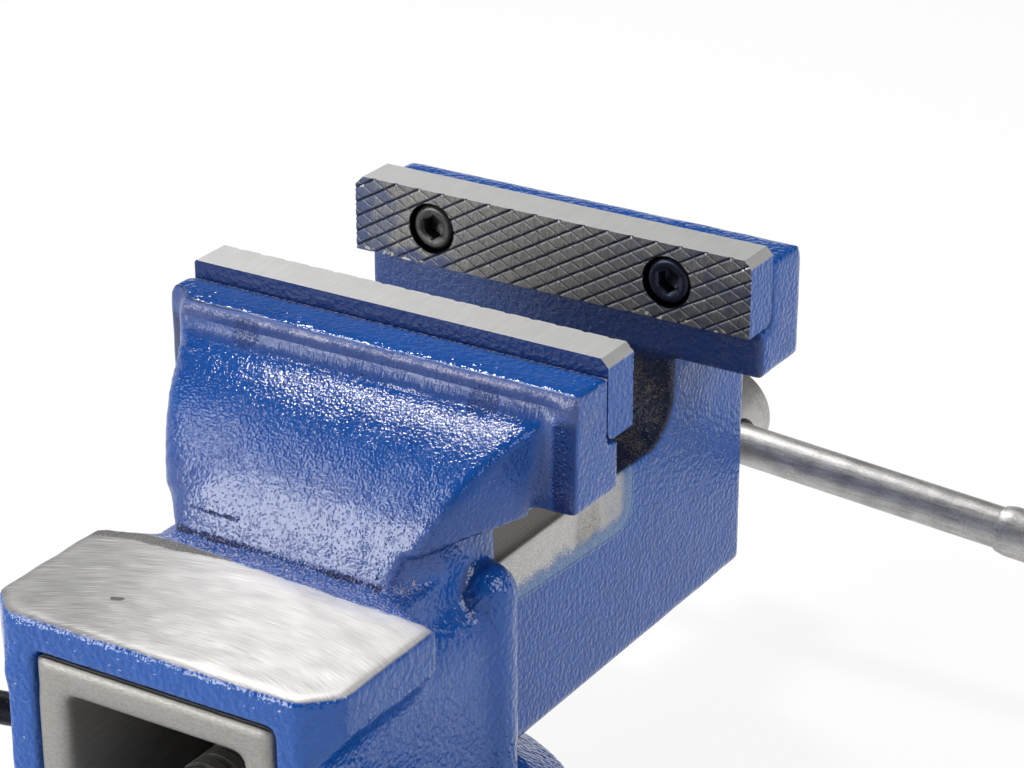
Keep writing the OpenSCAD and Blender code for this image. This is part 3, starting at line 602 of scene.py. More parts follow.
    # Painted shade: creases, holes, groove, shadow strips, flank, lobe ring, the head top's left part, the
    # band and the whole back; scars and foot speckles are marks
    shade_and_marks = most_of(f.step(crease, 0.1, 0.6), foot * 0.3 * f.step(speck, -0.1, 0.15), scar * 0.6,
                    holes * 0.8, shadow * 0.75, groove_shade * 0.55, flank * 0.2, back * 0.25, band * 0.35,
                    lobe * 0.6, head_left * 0.22)
    # Lavender: dust on the foot; painted sheen on the lower back, the band and the ribbon; painted highlight
    # flecks under the head's edge
    dust_and_sheen = most_of(foot * f.step(speck, 0.02, 0.14), low * 0.12, band * 0.1, ribbon * 0.16, highlight_flecks * 0.8)
    dull = most_of(band * 0.3, f.step(off_edge, 1.5, 0.7) * 0.8, ribbon * 0.6)
    return enamel(f, bare, steel, 0.5, height, shade_and_marks, NAVY, dust_and_sheen, dull, flank.most(shadow))


STRIP_END = 107.0
STRIP_LOW = SLIDE_Z - 18.0
STRIP_RISE = 0.06
STRIP_CORNER = 8.0
STAIN_AND_SHADE_CENTRE = (SLIDE_HALF, 83.0, 89.0)
# Dark tone of the milled top: painted shade
MILLED_SHADE_TONES = (0.018, 0.017, 0.014), (0.16, 0.153, 0.132)
SCRAPED_TONES = (0.32, 0.312, 0.295), (0.53, 0.52, 0.5)
SLIDE_TONES = (0.16, 0.155, 0.145), (0.34, 0.33, 0.31)
STAIN_AND_SHADE_BROWN = (0.15, 0.13, 0.11)
BLUING = (0.09, 0.14, 0.26)
FRONT_SHADE_BLUES = (0.014, 0.044, 0.17), (0.013, 0.036, 0.145)
NECK_SHADE = (0.006, 0.011, 0.036)
GRIME_BROWN = (0.12, 0.104, 0.074)
TEALS = (0.04, 0.115, 0.27), (0.2, 0.3, 0.38)


def jaw_enamel():
    """Enamel of the moving jaw, bare on the slide's top and on the machined strips."""
    f = Finish("jaw_enamel", IOR=ENAMEL_IOR)
    wander = f.grain(f.place, 6.0, 3.0)
    speck = f.grain(f.place, 0.42, 3.0)
    small, broad = peel(f)

    # Strips beside the slide's top, with a round corner and thin teal paint along the edge
    lower = STRIP_LOW + STRIP_CORNER + (STRIP_END - f.y) * STRIP_RISE
    short = f.join((f.y - (STRIP_END - STRIP_CORNER)).most(0.0), (lower - f.z).most(0.0))
    depth = STRIP_CORNER - f.length(short)
    beside = f.step(abs(f.facing_x), 0.5, 0.8)
    upward = f.step(f.facing_z, 0.5, 0.85)
    wiped = f.step(depth, -0.25, 0.15) * (beside + upward * f.step(f.y, 100.0, 97.0)).least(1.0)
    wiped = wiped * f.step(f.y, 112.0, 108.0)
    strip = f.step(depth + wander * 4.0 + speck * 8.0, 2.2, 6.0) * wiped
    inner = f.step(f.y, SEAT_Y - 12, SEAT_Y - 16)
    top = upward * f.step(f.z, SLIDE_Z - 1.6, SLIDE_Z - 0.9) * f.step(f.y + wander * 3.0, 101.0, 98.0)
    bare = most_of(strip, top, inner)

    # The milled top: real milling lines in a dark tone that is painted shade under the jaws' heads
    cut = f.math("SINE", f.y * 7.4 + wander * 3.0)
    milled_shade = f.mix(cut * 0.6 + speck * 0.4 + 0.45, *MILLED_SHADE_TONES)
    # A stain on the strip, widened so that it also paints the shade at the strip's upper end
    stain_and_shade = f.step(f.around(STAIN_AND_SHADE_CENTRE) + wander * 14.0, 10.0, 3.0) * f.step(speck, -0.1, 0.1)
    scraped = f.mix(f.step(speck, -0.25, 0.2), *SCRAPED_TONES)
    scraped = f.mix(stain_and_shade * 0.85, scraped, STAIN_AND_SHADE_BROWN)
    bluing = f.step(f.y + wander * 20.0, 84.0, 102.0) * f.step(speck, -0.05, 0.1)
    scraped = f.mix(bluing * 0.8, scraped, BLUING)
    sides = f.grain(f.stretched(1.0, 14.0, 0.5), 1.0, 3.0)
    scraped = f.mix(inner, scraped, f.mix(sides + 0.5, *SLIDE_TONES))
    steel = f.mix(top, scraped, milled_shade)

    # Painted shade with brown grime specks on the front of the neck, its foot and the slide's top before it
    below_head = f.step(f.z, 118.0, 112.0)
    front = f.step(f.facing_y, -0.2, -0.5) * f.step(f.z, SLIDE_Z - 2.0, SLIDE_Z) * f.step(f.y, 100.0, 108.0)
    step_top = f.step(f.facing_z, 0.3, 0.6) * f.inside(f.y, 116.0, 134.0, 1.0) * below_head
    near = upward * f.step(f.z, SLIDE_Z - 2.5, SLIDE_Z - 1.5) * f.step(f.y + wander * 3.0, 95.0, 98.0)
    front = most_of(front, step_top, near * below_head)
    grime = f.step(speck + wander * 0.5, 0.02, 0.2)
    neck = f.step(abs(f.x) + wander * 5.0, 40.0, 33.0) * f.step(f.z, 124.0, 116.0)
    front_shade = f.mix(f.step(f.x, -40.0, 20.0), *FRONT_SHADE_BLUES)
    front_shade = f.mix(neck, front_shade, NECK_SHADE)
    brown = grime * f.step(f.x, -30.0, 20.0) * f.blend(f.step(f.z, 126.0, 116.0), 0.22, 1.0)
    front_shade = f.mix(brown, front_shade, GRIME_BROWN)
    teal = f.mix(f.step(speck, -0.2, 0.25), *TEALS)
    thin = wiped * (1 - strip)
    # Painted shade on the front; thin teal paint along the strips
    shade_and_marks = front.most(thin * (0.74 + speck * 0.5))
    tint = f.mix(thin, front_shade, teal)

    ridge = f.inside(depth, -0.55, 0.05, 0.25) * (1 - top)
    waves = (small * 0.14 + broad * 0.42) * (1 - thin * 0.7) + front * speck * 0.2
    height = waves * (1 - bare) + ridge * beside * 0.18 + bare * (speck * 0.08 + cut * top * 0.03)
    return enamel(f, bare, steel, 0.45, height, shade_and_marks, tint, dull=front * 0.15)


RING_GREY = (0.3, 0.29, 0.28)


def base_enamel():
    """Enamel of the swivel base, bare where the turntable runs."""
    f = Finish("base_enamel", IOR=ENAMEL_IOR)
    wander = f.grain(f.place, 6.0, 3.0)
    small, broad = peel(f)
    radius = f.length(f.join(f.x, f.y))
    bare = f.step(f.z, 17.2, 17.7) * f.step(radius + wander * 0.6, TURNTABLE_R + 1.0, TURNTABLE_R + 0.2)
    turned_rings = f.grain(f.join(radius / 0.4, 0.0, 0.0), 1.0, 2.0)
    steel = f.mix(turned_rings + 0.5, RING_GREY, PALE_STEEL)
    rub = f.step(f.grain(f.place, 3.0, 4.0), 0.16, 0.24) * f.step(f.z, 3.0, 0.5)
    height = (small * 0.14 + broad * 0.4) * (1 - bare) + turned_rings * bare * 0.03
    return enamel(f, bare.most(rub), steel, 0.4, height, wander * 0.3 + 0.1, DEEP_BLUE)


# Jaw plates

KNURL_PITCH = 7.5
KNURL_ANGLE = math.radians(30)
KNURL_CELL = 0.33
KNURL_DEPTH = 0.5
KNURL_GROOVE = 0.5
# Bevels of a plate's left and right upper end
MOVING_BEVELS = (2.6, 2.2)
FIXED_BEVELS = (0.5, 2.2)


def geometry_tree(name, inputs):
    """New geometry nodes with named inputs; gives the nodes and the inputs' values."""
    tree = bpy.data.node_groups.new(name, "GeometryNodeTree")
    for label, kind in inputs.items():
        tree.interface.new_socket(label, in_out="INPUT", socket_type="NodeSocket" + kind)
    tree.interface.new_socket("Piece", in_out="OUTPUT", socket_type="NodeSocketGeometry")
    n = Nodes(tree)
    given = n.node("NodeGroupInput").socket.node.outputs
    return n, {socket.name: Value(n, socket) for socket in given if socket.name}


def end_tree(n, geometry, material):
    """Ends geometry nodes with one plain mesh in its material."""
    whole = n.node("GeometryNodeRealizeInstances", {}, {0: geometry})
    coated = n.node("GeometryNodeSetMaterial", {}, {"Geometry": whole, "Material": material})
    n.node("NodeGroupOutput", {}, {0: coated})
    return n.tree


def grown(name, tree, **sizes):
    """Piece that geometry nodes make from the given sizes."""
    piece = link(bpy.data.meshes.new(name), name)
    work = piece.modifiers.new("grown", "NODES")
    work.node_group = tree
    for item in tree.interface.items_tree:
        if item.in_out == "INPUT":
            work[item.identifier] = sizes[item.name.replace(" ", "_").lower()]
    settle(piece)
    return piece


def knurl_cuts(n, here, spacing, lean, rise, groove):
    """Depths of the two crossing sets of grooves, from 0 to about 1, at a place on the flat face."""
    u, v, _ = n.split(here)
    wobble = n.grain(here, 9.0) * 0.35 + n.grain(here, 2.0) * 0.16
    wear = n.grain(here, 3.0) * 0.5 + 1.0
    cuts = []
    for side, depth in ((-1.0, 1.0), (1.0, 0.7)):
        across = u * lean * side + v * rise + wobble
        away = n.math("PINGPONG", across, spacing * 0.5)
        cuts.append((1.0 - away / groove).most(0.0) * wear * depth)
    return cuts


def knurl_tree():
    """Geometry nodes for a flat face cut by two crossing sets of grooves."""
    sizes = ("Width", "Height", "Pitch", "Angle", "Depth", "Groove")
    n, size = geometry_tree("knurled_face", {**dict.fromkeys(sizes, "Float"), "Material": "Material"})
    counts = [n.math("CEIL", size[way] / KNURL_CELL) for way in ("Width", "Height")]
    sheet = n.node("GeometryNodeMeshGrid", {}, {
        "Size X": size["Width"], "Size Y": size["Height"], "Vertices X": counts[0], "Vertices Y": counts[1]})
    here = n.node("GeometryNodeInputPosition")
    lean = n.math("SINE", size["Angle"])
    rise = n.math("COSINE", size["Angle"])
    first, second = knurl_cuts(n, here, size["Pitch"] * lean, lean, rise, size["Groove"])
    depth = -(first.most(second) * size["Depth"]) + n.grain(here, 1.1) * 0.06 - 0.04
    moved = n.node("GeometryNodeSetPosition", {}, {"Geometry": sheet, "Offset": n.join(0.0, 0.0, depth)})
    return end_tree(n, moved, size["Material"])


def jaw_plate(name, sheet, side, face_y, seat_y, bevels):
    """Jaw plate: knurled face, bevelled upper ends and a rounded lower back edge."""
    mesh = sheet.copy()
    # The sheet was grown with a millimetre as its unit
    place = points(mesh) * MM
    flat = place.copy()
    place[:, 0] = -side * flat[:, 0]
    place[:, 1] = face_y + side * np.minimum(flat[:, 2], 0.0)
    place[:, 2] = PLATE_MID_Z + flat[:, 1]
    move_to(mesh, place)
    work = bmesh.new()
    work.from_mesh(mesh)
    for ring_y, rise in plate_rings(face_y, seat_y):
        rim = [edge for edge in work.edges if edge.is_boundary]
        made = bmesh.ops.extrude_edge_only(work, edges=rim)
        for vertex in made["geom"]:
            if isinstance(vertex, bmesh.types.BMVert):
                vertex.co.y = ring_y * MM
                vertex.co.z = max(vertex.co.z, (PLATE_Z + rise) * MM)
    rim = [edge for edge in work.edges if edge.is_boundary]
    bmesh.ops.contextual_create(work, geom=rim)
    for vertex in work.verts:
        end = bevels[0] if vertex.co.x < 0 else bevels[1]
        limit = (JAW_HALF - max(0.0, vertex.co.z / MM - (JAW_TOP - end))) * MM
        vertex.co.x = max(-limit, min(limit, vertex.co.x))
    bmesh.ops.remove_doubles(work, verts=work.verts, dist=0.02 * MM)
    bmesh.ops.recalc_face_normals(work, faces=work.faces)
    work.to_mesh(mesh)
    work.free()
    piece = link(mesh, name)
    drill_plate(piece, side, face_y)
    return piece


ROUND_STEPS = 6
LOWER_ROUND = 3.0


def plate_rings(face_y, seat_y):
    """Places along a plate's thickness, each with the rise of its lower edge."""
    inward = math.copysign(1.0, seat_y - face_y)
    yield (seat_y - inward * LOWER_ROUND, 0.0)
    for i in range(1, ROUND_STEPS + 1):
        angle = math.pi / 2 * i / ROUND_STEPS
        yield (seat_y - inward * LOWER_ROUND * (1 - math.sin(angle)), LOWER_ROUND * (1 - math.cos(angle)))


SCREW_SPAN = 74.5
COUNTERBORE_R = 7.25
COUNTERBORE_DEPTH = 8.7
SCREW_HOLE_R = 4.25


def rounded(corners, radius, steps=4):
    """Outline through corner points, with its inner corners rounded off."""
    outline = [Vector(corners[0])]
    for before, corner, after in zip(corners, corners[1:], corners[2:]):
        corner = Vector(corner)
        back, ahead = Vector(before) - corner, Vector(after) - corner
        reach = min(radius, back.length * 0.45, ahead.length * 0.45)
        start, end = corner + back.normalized() * reach, corner + ahead.normalized() * reach
        outline.append(start + back.normalized() * reach * 0.2)
        for i in range(steps + 1):
            share = i / steps
            outline.append(start.lerp(corner, share).lerp(corner.lerp(end, share), share))
        outline.append(end + ahead.normalized() * reach * 0.2)
    outline.append(Vector(corners[-1]))
    return [tuple(place) for place in outline]


def six_sided(angle):
    """Reach of a hexagon's side at an angle, for a unit distance across half its flats."""
    sixth = math.pi / 3
    return 1 / math.cos((angle + sixth / 2) % sixth - sixth / 2)


def turned(profile, sides=48):
    """Turned piece about Z from radius and height pairs along its outline; a third item shapes the ring."""
    places = []
    for radius, height, *shape in profile:
        for i in range(sides):
            angle = 2 * math.pi * i / sides
            reach = radius * (shape[0](angle) if shape else 1.0)
            places.append((reach * math.cos(angle) * MM, reach * math.sin(angle) * MM, height * MM))
    faces = []
    for row in range(len(profile) - 1):
        for i in range(sides):
            j = (i + 1) % sides
            faces.append((row * sides + i, row * sides + j, (row + 1) * sides + j, (row + 1) * sides + i))
    mesh = bpy.data.meshes.new("turned")
    mesh.from_pydata(places, [], faces)
    merged(mesh)
    crisp(mesh)
    return mesh


def crisp(mesh):
    """Smooth shading with sharp corners."""
    mesh.polygons.foreach_set("use_smooth", [True] * len(mesh.polygons))
    mesh.set_sharp_from_angle(angle=math.radians(38))


def drill(piece, profile, place, sides=48):
    """Cuts a turned shape out of a piece."""
    tool = link(turned(profile, sides), "drill")
    tool.data.transform(place)
    cut = piece.modifiers.new("drill", "BOOLEAN")
    cut.object = tool
    settle(piece)
    bpy.data.objects.remove(tool)


def drill_plate(piece, side, face_y):
    """Cuts the two counterbored screw holes."""
    depth = FACE_Y - SEAT_Y
    profile = [(0, 1), (COUNTERBORE_R, 1), (COUNTERBORE_R, -COUNTERBORE_DEPTH),
               (SCREW_HOLE_R, -COUNTERBORE_DEPTH), (SCREW_HOLE_R, -depth - 1), (0, -depth - 1)]
    turn = Matrix.Rotation(-side * math.pi / 2, 4, "X")
    for x in (-SCREW_SPAN / 2, SCREW_SPAN / 2):
        drill(piece, profile, Matrix.Translation(Vector((x, face_y, PLATE_MID_Z)) * MM) @ turn)


FACE_TONES = (0.1, 0.098, 0.094), (0.25, 0.245, 0.23)
FACE_BLUE = (0.035, 0.048, 0.1)
MIST_BLUE = (0.02, 0.045, 0.14)
# Painted highlight on the grooves' edges, painted shade in the cuts and the counterbores
RIDGE_HIGHLIGHT = (0.34, 0.34, 0.34)
SHALLOW_CUT_SHADE = (0.02, 0.025, 0.045)
DEEP_CUT_SHADE = (0.004, 0.007, 0.022)
BORE_SHADE = (0.004, 0.004, 0.005)
CHIP_TAN = (0.5, 0.47, 0.38)
GROUND_TONES = (0.46, 0.456, 0.452), (0.585, 0.58, 0.577)
# Darker enamel on the plate's back: painted shade
BACK_SHADE_BLUE = (0.003, 0.022, 0.115)


def plate_finish(name, side):
    """Hardened jaw plate: dark knurled face, bright ground top, enamel on its ends and back; painted shade
    darkens the back's enamel, the cuts and the counterbores, and painted highlights line the shallow
    grooves.
    """
    f = Finish(name, IOR=ENAMEL_IOR)
    level = f.step(f.z, JAW_TOP - 0.6, JAW_TOP - 0.3).most(f.step(abs(f.x), JAW_HALF - 3.0, JAW_HALF - 2.8))
    top = f.step(f.facing_z, 0.4, 0.6) * f.step(f.z, JAW_TOP - 3.5, JAW_TOP - 3.0) * level
    front = f.step(f.facing_y * side, 0.2, 0.5)
    off_screw = f.length(f.join(abs(f.x) - SCREW_SPAN / 2, f.z - PLATE_MID_Z))
    # Painted shade in the counterbore round the screw head
    bore = f.step(off_screw, COUNTERBORE_R + 0.25, COUNTERBORE_R + 0.1)
    bore = bore * f.step(f.facing_y * side, -0.6, -0.3) * (1 - top)
    painted = (1 - top) * (1 - front) * (1 - bore)
    speck = f.grain(f.place, 0.5, 3.0)
    wander = f.grain(f.place, 6.0, 3.0)

    # Knurled face: worn grey, bluish on the right and at its left end, with painted highlights along the
    # shallow grooves and painted shade in the cuts and the counterbores
    flat = f.join(f.x * -side, f.z - PLATE_MID_Z, 0.0)
    lean, rise = math.sin(KNURL_ANGLE), math.cos(KNURL_ANGLE)
    first, second = knurl_cuts(f, flat, KNURL_PITCH * lean, lean, rise, KNURL_GROOVE)
    down = f.grain(f.stretched(0.7, 5.0, 4.0), 1.0, 3.0)
    worn = f.mix(f.step(speck * 0.8 + down * 0.7, -0.3, 0.3), *FACE_TONES)
    right = f.step(f.x, 0.0, 45.0)
    worn = f.mix(right * f.step(wander + speck, -0.2, 0.2) * 0.7, worn, FACE_BLUE)
    mist = f.step(f.z + wander * 12.0, PLATE_Z + 5, PLATE_Z + 1) * f.step(f.x + wander * 20.0, -24.0, -36.0)
    mist = f.step(f.x + wander * 40.0, -44.0, -62.0).most(mist)
    worn = f.mix(mist * 0.75, worn, MIST_BLUE)
    worn = f.mix(f.inside(second, 0.08, 0.3, 0.06) * 0.5, worn, RIDGE_HIGHLIGHT)
    worn = f.mix(f.step(second, 0.36, 0.6) * 0.7, worn, SHALLOW_CUT_SHADE)
    worn = f.mix(f.step(first + speck * 0.25, 0.3, 0.55), worn, DEEP_CUT_SHADE)
    worn = f.mix(bore, worn, BORE_SHADE)
    low = f.step(f.z + speck * 1.2, PLATE_Z + 1.6, PLATE_Z + 0.5)
    ends = f.step(abs(f.x + 6.0) + wander * 8.0, 30.0, 36.0)
    chip = low * ends * f.step(f.grain(f.place, 1.6, 3.0), 0.04, 0.12) * front
    worn = f.mix(chip, worn, CHIP_TAN)

    lines = f.grain(f.stretched(0.35, 9.0, 1.0), 1.0, 3.0)
    ground = f.mix(f.step(lines + wander * 0.4, -0.5, 0.5), *GROUND_TONES)
    # Painted shade: the enamel on the plate's back is darker
    back = f.step(f.facing_y * side, -0.5, -0.8)
    coat = f.mix(back, BLUE, BACK_SHADE_BLUE)
    f.feed("Base Color", f.mix(top, f.mix(painted, worn, coat), ground))
    f.feed("Metallic", 0.6 - painted * 0.6 - chip * 0.6)
    f.feed("Roughness", 0.42 - painted * (0.3 - back * 0.12))
    small, broad = peel(f)
    f.relief((broad * 0.4 + small * 0.12) * painted * (1 - back * 0.6) + speck * 0.03 * front)
    return f


# Screws, handle and the rest

def row_tree():
    """Geometry nodes that repeat a piece along a row."""
    n, size = geometry_tree("row_of_pieces", {
        "Piece": "Object", "Count": "Int", "Start": "Vector", "Step": "Vector", "Material": "Material"})
    row = n.node("GeometryNodeMeshLine", {"mode": "OFFSET"}, {
        "Count": size["Count"], "Start Location": size["Start"], "Offset": size["Step"]})
    shape = n.node("GeometryNodeObjectInfo", {}, {"Object": size["Piece"]}, "Geometry")
    placed = n.node("GeometryNodeInstanceOnPoints", {}, {"Points": row, "Instance": shape})
    return end_tree(n, placed, size["Material"])


def pair(name, tree, mesh, place, span, finish):
    """Two of a piece, side by side along X about a place."""
    blank = link(mesh, "blank")
    start = (Vector(place) - Vector((span / 2, 0.0, 0.0))) * MM
    piece = grown(name, tree, piece=blank, count=2, start=start, step=Vector((span, 0.0, 0.0)) * MM,
                  material=finish.material)
    bpy.data.objects.remove(blank)
    return piece


SCREW_HEAD_R = 6.5
SCREW_HEAD_H = 8.0
SCREW_SINK = 0.7
SCREW_SHANK_R = 4.0
SCREW_SHANK_L = 14.8
SOCKET_FLATS = 6.0
SOCKET_DEPTH = 4.5


def socket_screw():
    """Socket head screw along Z with the top of its head at zero."""
    end = -SCREW_HEAD_H - SCREW_SHANK_L
    outer = rounded([(0.0, end), (SCREW_SHANK_R, end), (SCREW_SHANK_R, -SCREW_HEAD_H),
                     (SCREW_HEAD_R, -SCREW_HEAD_H), (SCREW_HEAD_R, -0.9), (SCREW_HEAD_R - 0.9, 0.0),
                     (SOCKET_FLATS / 2 + 1.0, 0.0)], 0.5)
    half = SOCKET_FLATS / 2
    walls = ((half + 0.06, -0.55), (half, -0.8), (half, -SOCKET_DEPTH + 0.1), (half - 0.2, -SOCKET_DEPTH))
    socket = [(*place, six_sided) for place in walls] + [(0.0, -SOCKET_DEPTH - 0.5)]
    return turned(outer + socket)


def plate_screws(name, tree, side, face_y, finish):
    """The two socket screws of a jaw plate."""
    mesh = socket_screw()
    mesh.transform(Matrix.Rotation(-side * math.pi / 2, 4, "X"))
    return pair(name, tree, mesh, (0.0, face_y - side * SCREW_SINK, PLATE_MID_Z), SCREW_SPAN, finish)


KNOB_END = SCREW_HIGH.y
KNOB_START = KNOB_END - 42.0
KNOB_R = 14.5
SHOULDER_R = 16.0
SHOULDER_START = KNOB_START - 6.0
JOURNAL_R = 11.0
JOURNAL_START = 118.5
THREAD_R = 10.0
THREAD_DEPTH = 2.4
THREAD_PITCH = 5.0
RIDGE_ROOT = 2.9
RIDGE_CREST = 2.0
CROSS_HOLE = ((9.5, 20.0), (7.4, 12.6), (6.75, 11.0))
ROD_Y = KNOB_START + 22.0
ROD_R = 6.25
ROD_TILT = math.radians(94.2)


def coil_tree(name, section, sizes):
    """Geometry nodes for a bar of some section that winds up round Z."""
    n, size = geometry_tree(name, {**dict.fromkeys(("Turns", "Radius", "Rise") + sizes, "Float"),
                                   "Material": "Material"})
    path = n.node("GeometryNodeCurveSpiral", {}, {
        "Resolution": 48, "Rotations": size["Turns"], "Start Radius": size["Radius"],
        "End Radius": size["Radius"], "Height": size["Rise"]})
    path = n.node("GeometryNodeSetCurveNormal", {"mode": "Z_UP"}, {0: path})
    wound = n.node("GeometryNodeCurveToMesh", {}, {
        "Curve": path, "Profile Curve": section(n, size), "Fill Caps": True})
    return end_tree(n, wound, size["Material"])


def ridge_section(n, size):
    """Section of a screw thread, narrow outside."""
    flat = n.node("GeometryNodeCurvePrimitiveQuadrilateral", {"mode": "TRAPEZOID"}, {
        "Height": size["Depth"], "Bottom Width": size["Root"], "Top Width": size["Crest"], "Offset": 0.0})
    return n.node("GeometryNodeTransform", {}, {"Geometry": flat, "Rotation": (0.0, 0.0, -math.pi / 2)})


def wire_section(n, size):
    """Round section of a wire."""
    return n.node("GeometryNodeCurvePrimitiveCircle", {}, {"Resolution": 14, "Radius": size["Wire"]})


ALONG_Y = Matrix.Rotation(-math.pi / 2, 4, "X")
ALONG_ROD = Matrix.Translation(Vector((0.0, ROD_Y, SCREW_Z)) * MM) @ Matrix.Rotation(ROD_TILT, 4, "Y")


def on_screw(height):
    """Turns a piece about Z into one along the screw."""
    return Matrix.Translation(Vector((0.0, height, SCREW_Z)) * MM) @ ALONG_Y


def joined(name, *pieces):
    """One piece from several."""
    work = bmesh.new()
    for piece in pieces:
        work.from_mesh(piece.data)
    mesh = bpy.data.meshes.new(name)
    work.to_mesh(mesh)
    work.free()
    for piece in pieces:
        bpy.data.objects.remove(piece)
    return link(mesh, name)


def screw_with_knob(finish):
    """Main screw: square-cut thread, plain journal, shoulder and a knob with a cross hole."""
    root = THREAD_R - THREAD_DEPTH
    tip = SCREW_LOW.y
    outline = rounded([
        (0.0, tip), (root - 1.6, tip), (root, tip + 1.6), (root, JOURNAL_START), (JOURNAL_R, JOURNAL_START),
        (JOURNAL_R, SHOULDER_START), (SHOULDER_R, SHOULDER_START), (SHOULDER_R, KNOB_START),
        (KNOB_R, KNOB_START), (KNOB_R, KNOB_END - 2.0), (KNOB_R - 2.0, KNOB_END), (0.0, KNOB_END)], 0.5)
    core = link(turned(outline, 96), "screw_core")
    core.data.transform(on_screw(0.0))
    depth = CROSS_HOLE[0][1]
    flare = [(0.0, -depth)] + [(radius, -height) for radius, height in CROSS_HOLE]
    flare += [*CROSS_HOLE[::-1], (0.0, depth)]
    drill(core, flare, ALONG_ROD, 64)
    crisp(core.data)
    start, end = tip + 4.0, JOURNAL_START - 8.0
    tree = coil_tree("thread", ridge_section, ("Depth", "Root", "Crest"))
    thread = grown("thread", tree, turns=(end - start) / THREAD_PITCH, rise=(end - start) * MM,
                   radius=(THREAD_R - THREAD_DEPTH / 2 - 0.2) * MM, depth=(THREAD_DEPTH + 0.4) * MM,
                   root=RIDGE_ROOT * MM, crest=RIDGE_CREST * MM, material=finish.material)
    thread.data.transform(on_screw(start))
    crisp(thread.data)
    return joined("lead_screw_steel", core, thread)


SPRING_R = 13.25
SPRING_START = 129.5
SPRING_L = 20.0
SPRING_TURNS = 4.0
WIRE_R = 1.2


def wound_spring(finish):
    """Coil spring on the screw's journal."""
    tree = coil_tree("spring", wire_section, ("Wire",))
    piece = grown("screw_spring_wire", tree, turns=SPRING_TURNS, radius=SPRING_R * MM,
                  rise=(SPRING_L - 2 * WIRE_R) * MM, wire=WIRE_R * MM, material=finish.material)
    piece.data.transform(on_screw(SPRING_START + WIRE_R))
    crisp(piece.data)
    return piece


ROD_SHIFT = 15.0
ROD_L = 170.0
CAP_R = 7.5
CAP_L = 13.0
CAP_DEPTH = 8.0


def handle_bar():
    """Plain round bar that slides in the knob."""
    low, high = ROD_SHIFT - ROD_L / 2 - CAP_DEPTH, ROD_SHIFT + ROD_L / 2 + CAP_DEPTH
    mesh = turned(rounded([(0.0, low), (ROD_R, low), (ROD_R, high), (0.0, high)], 0.8), 64)
    mesh.transform(ALONG_ROD)
    return link(mesh, "handle_rod_steel")


def dented(angle):
    """Uneven rim of a cap that was pressed on."""
    return 1.0 + 0.012 * math.sin(5 * angle) * math.sin(3 * angle + 1.0)


def handle_cap(name, side):
    """Barrel shaped cap on an end of the bar, with an uneven rim."""
    bore = ROD_R + 0.03
    rim = [(bore, 0.0), (ROD_R + 0.25, 0.0), (ROD_R + 0.5, 0.15, dented)]
    barrel = rounded([(ROD_R + 0.6, 0.3), (CAP_R, 3.0), (CAP_R, CAP_L), (0.0, CAP_L)], 3.4, 10)
    mesh = turned(rim + barrel + [(0.0, CAP_DEPTH), (bore, CAP_DEPTH), (bore, 0.0)], 96)
    turn = Matrix.Rotation(0.0 if side > 0 else math.pi, 4, "X")
    mesh.transform(ALONG_ROD @ Matrix.Translation((0.0, 0.0, (ROD_SHIFT + side * ROD_L / 2) * MM)) @ turn)
    return link(mesh, name)


def eased(node, name, width):
    """Copy of a solid with its edges taken off."""
    piece = solid_copy(node, name)
    work = bmesh.new()
    work.from_mesh(piece.data)
    bmesh.ops.dissolve_limit(work, angle_limit=math.radians(1), verts=work.verts, edges=work.edges)
    work.to_mesh(piece.data)
    work.free()
    bevel = piece.modifiers.new("eased", "BEVEL")
    bevel.width = width * MM
    bevel.segments = 2
    bevel.limit_method = "ANGLE"
    bevel.angle_limit = math.radians(40)
    settle(piece)
    crisp(piece.data)
    return piece


def lever_arm(node, name):
    """Lever whose arm flows into its hub."""
    piece = solid_copy(node, name)
    recast(piece, 0.6)
    mesh = piece.data
    everywhere = np.ones(len(mesh.vertices))
    soften(mesh, everywhere * 0.5, 3)
    soften(mesh, everywhere * 0.5, 12, fill_only=True)
    return piece


GRIP_R = 8.5
ARM_L = 66.0
ARM_R = 4.5
ARM_SLOPE = math.radians(14)
ARM_SWING = math.radians(35)
HUB_PLACE = Vector((LOCK_X, 0.0, 39.5))


def ball_grip(name, side):
    """Moulded ball on a lever, with a collar, a moulding line and a flat end."""
    outline = [(ARM_R + 0.05, -GRIP_R + 2.0), (ARM_R + 0.05, -GRIP_R + 0.6), (ARM_R + 1.2, -GRIP_R + 0.55)]
    for i in range(1, 30):
        angle = math.radians(-46 + i * 4.2)
        seam = 0.0 if abs(angle) < 0.03 else 0.07
        outline.append(((GRIP_R - seam) * math.cos(angle), (GRIP_R - seam) * math.sin(angle)))
    outline += [(3.0, GRIP_R - 0.45), (0.0, GRIP_R - 0.45)]
    mesh = turned(outline, 56)
    lay = (Matrix.Translation(HUB_PLACE * MM) @ Matrix.Rotation(-ARM_SWING, 4, "Z")
           @ Matrix.Rotation(math.pi / 2 - ARM_SLOPE, 4, "Y") @ Matrix.Translation((0.0, 0.0, ARM_L * MM)))
    mesh.transform(lay)
    if side < 0:
        mesh.transform(Matrix.Scale(-1, 4, (1.0, 0.0, 0.0)))
        mesh.flip_normals()
    return link(mesh, name)


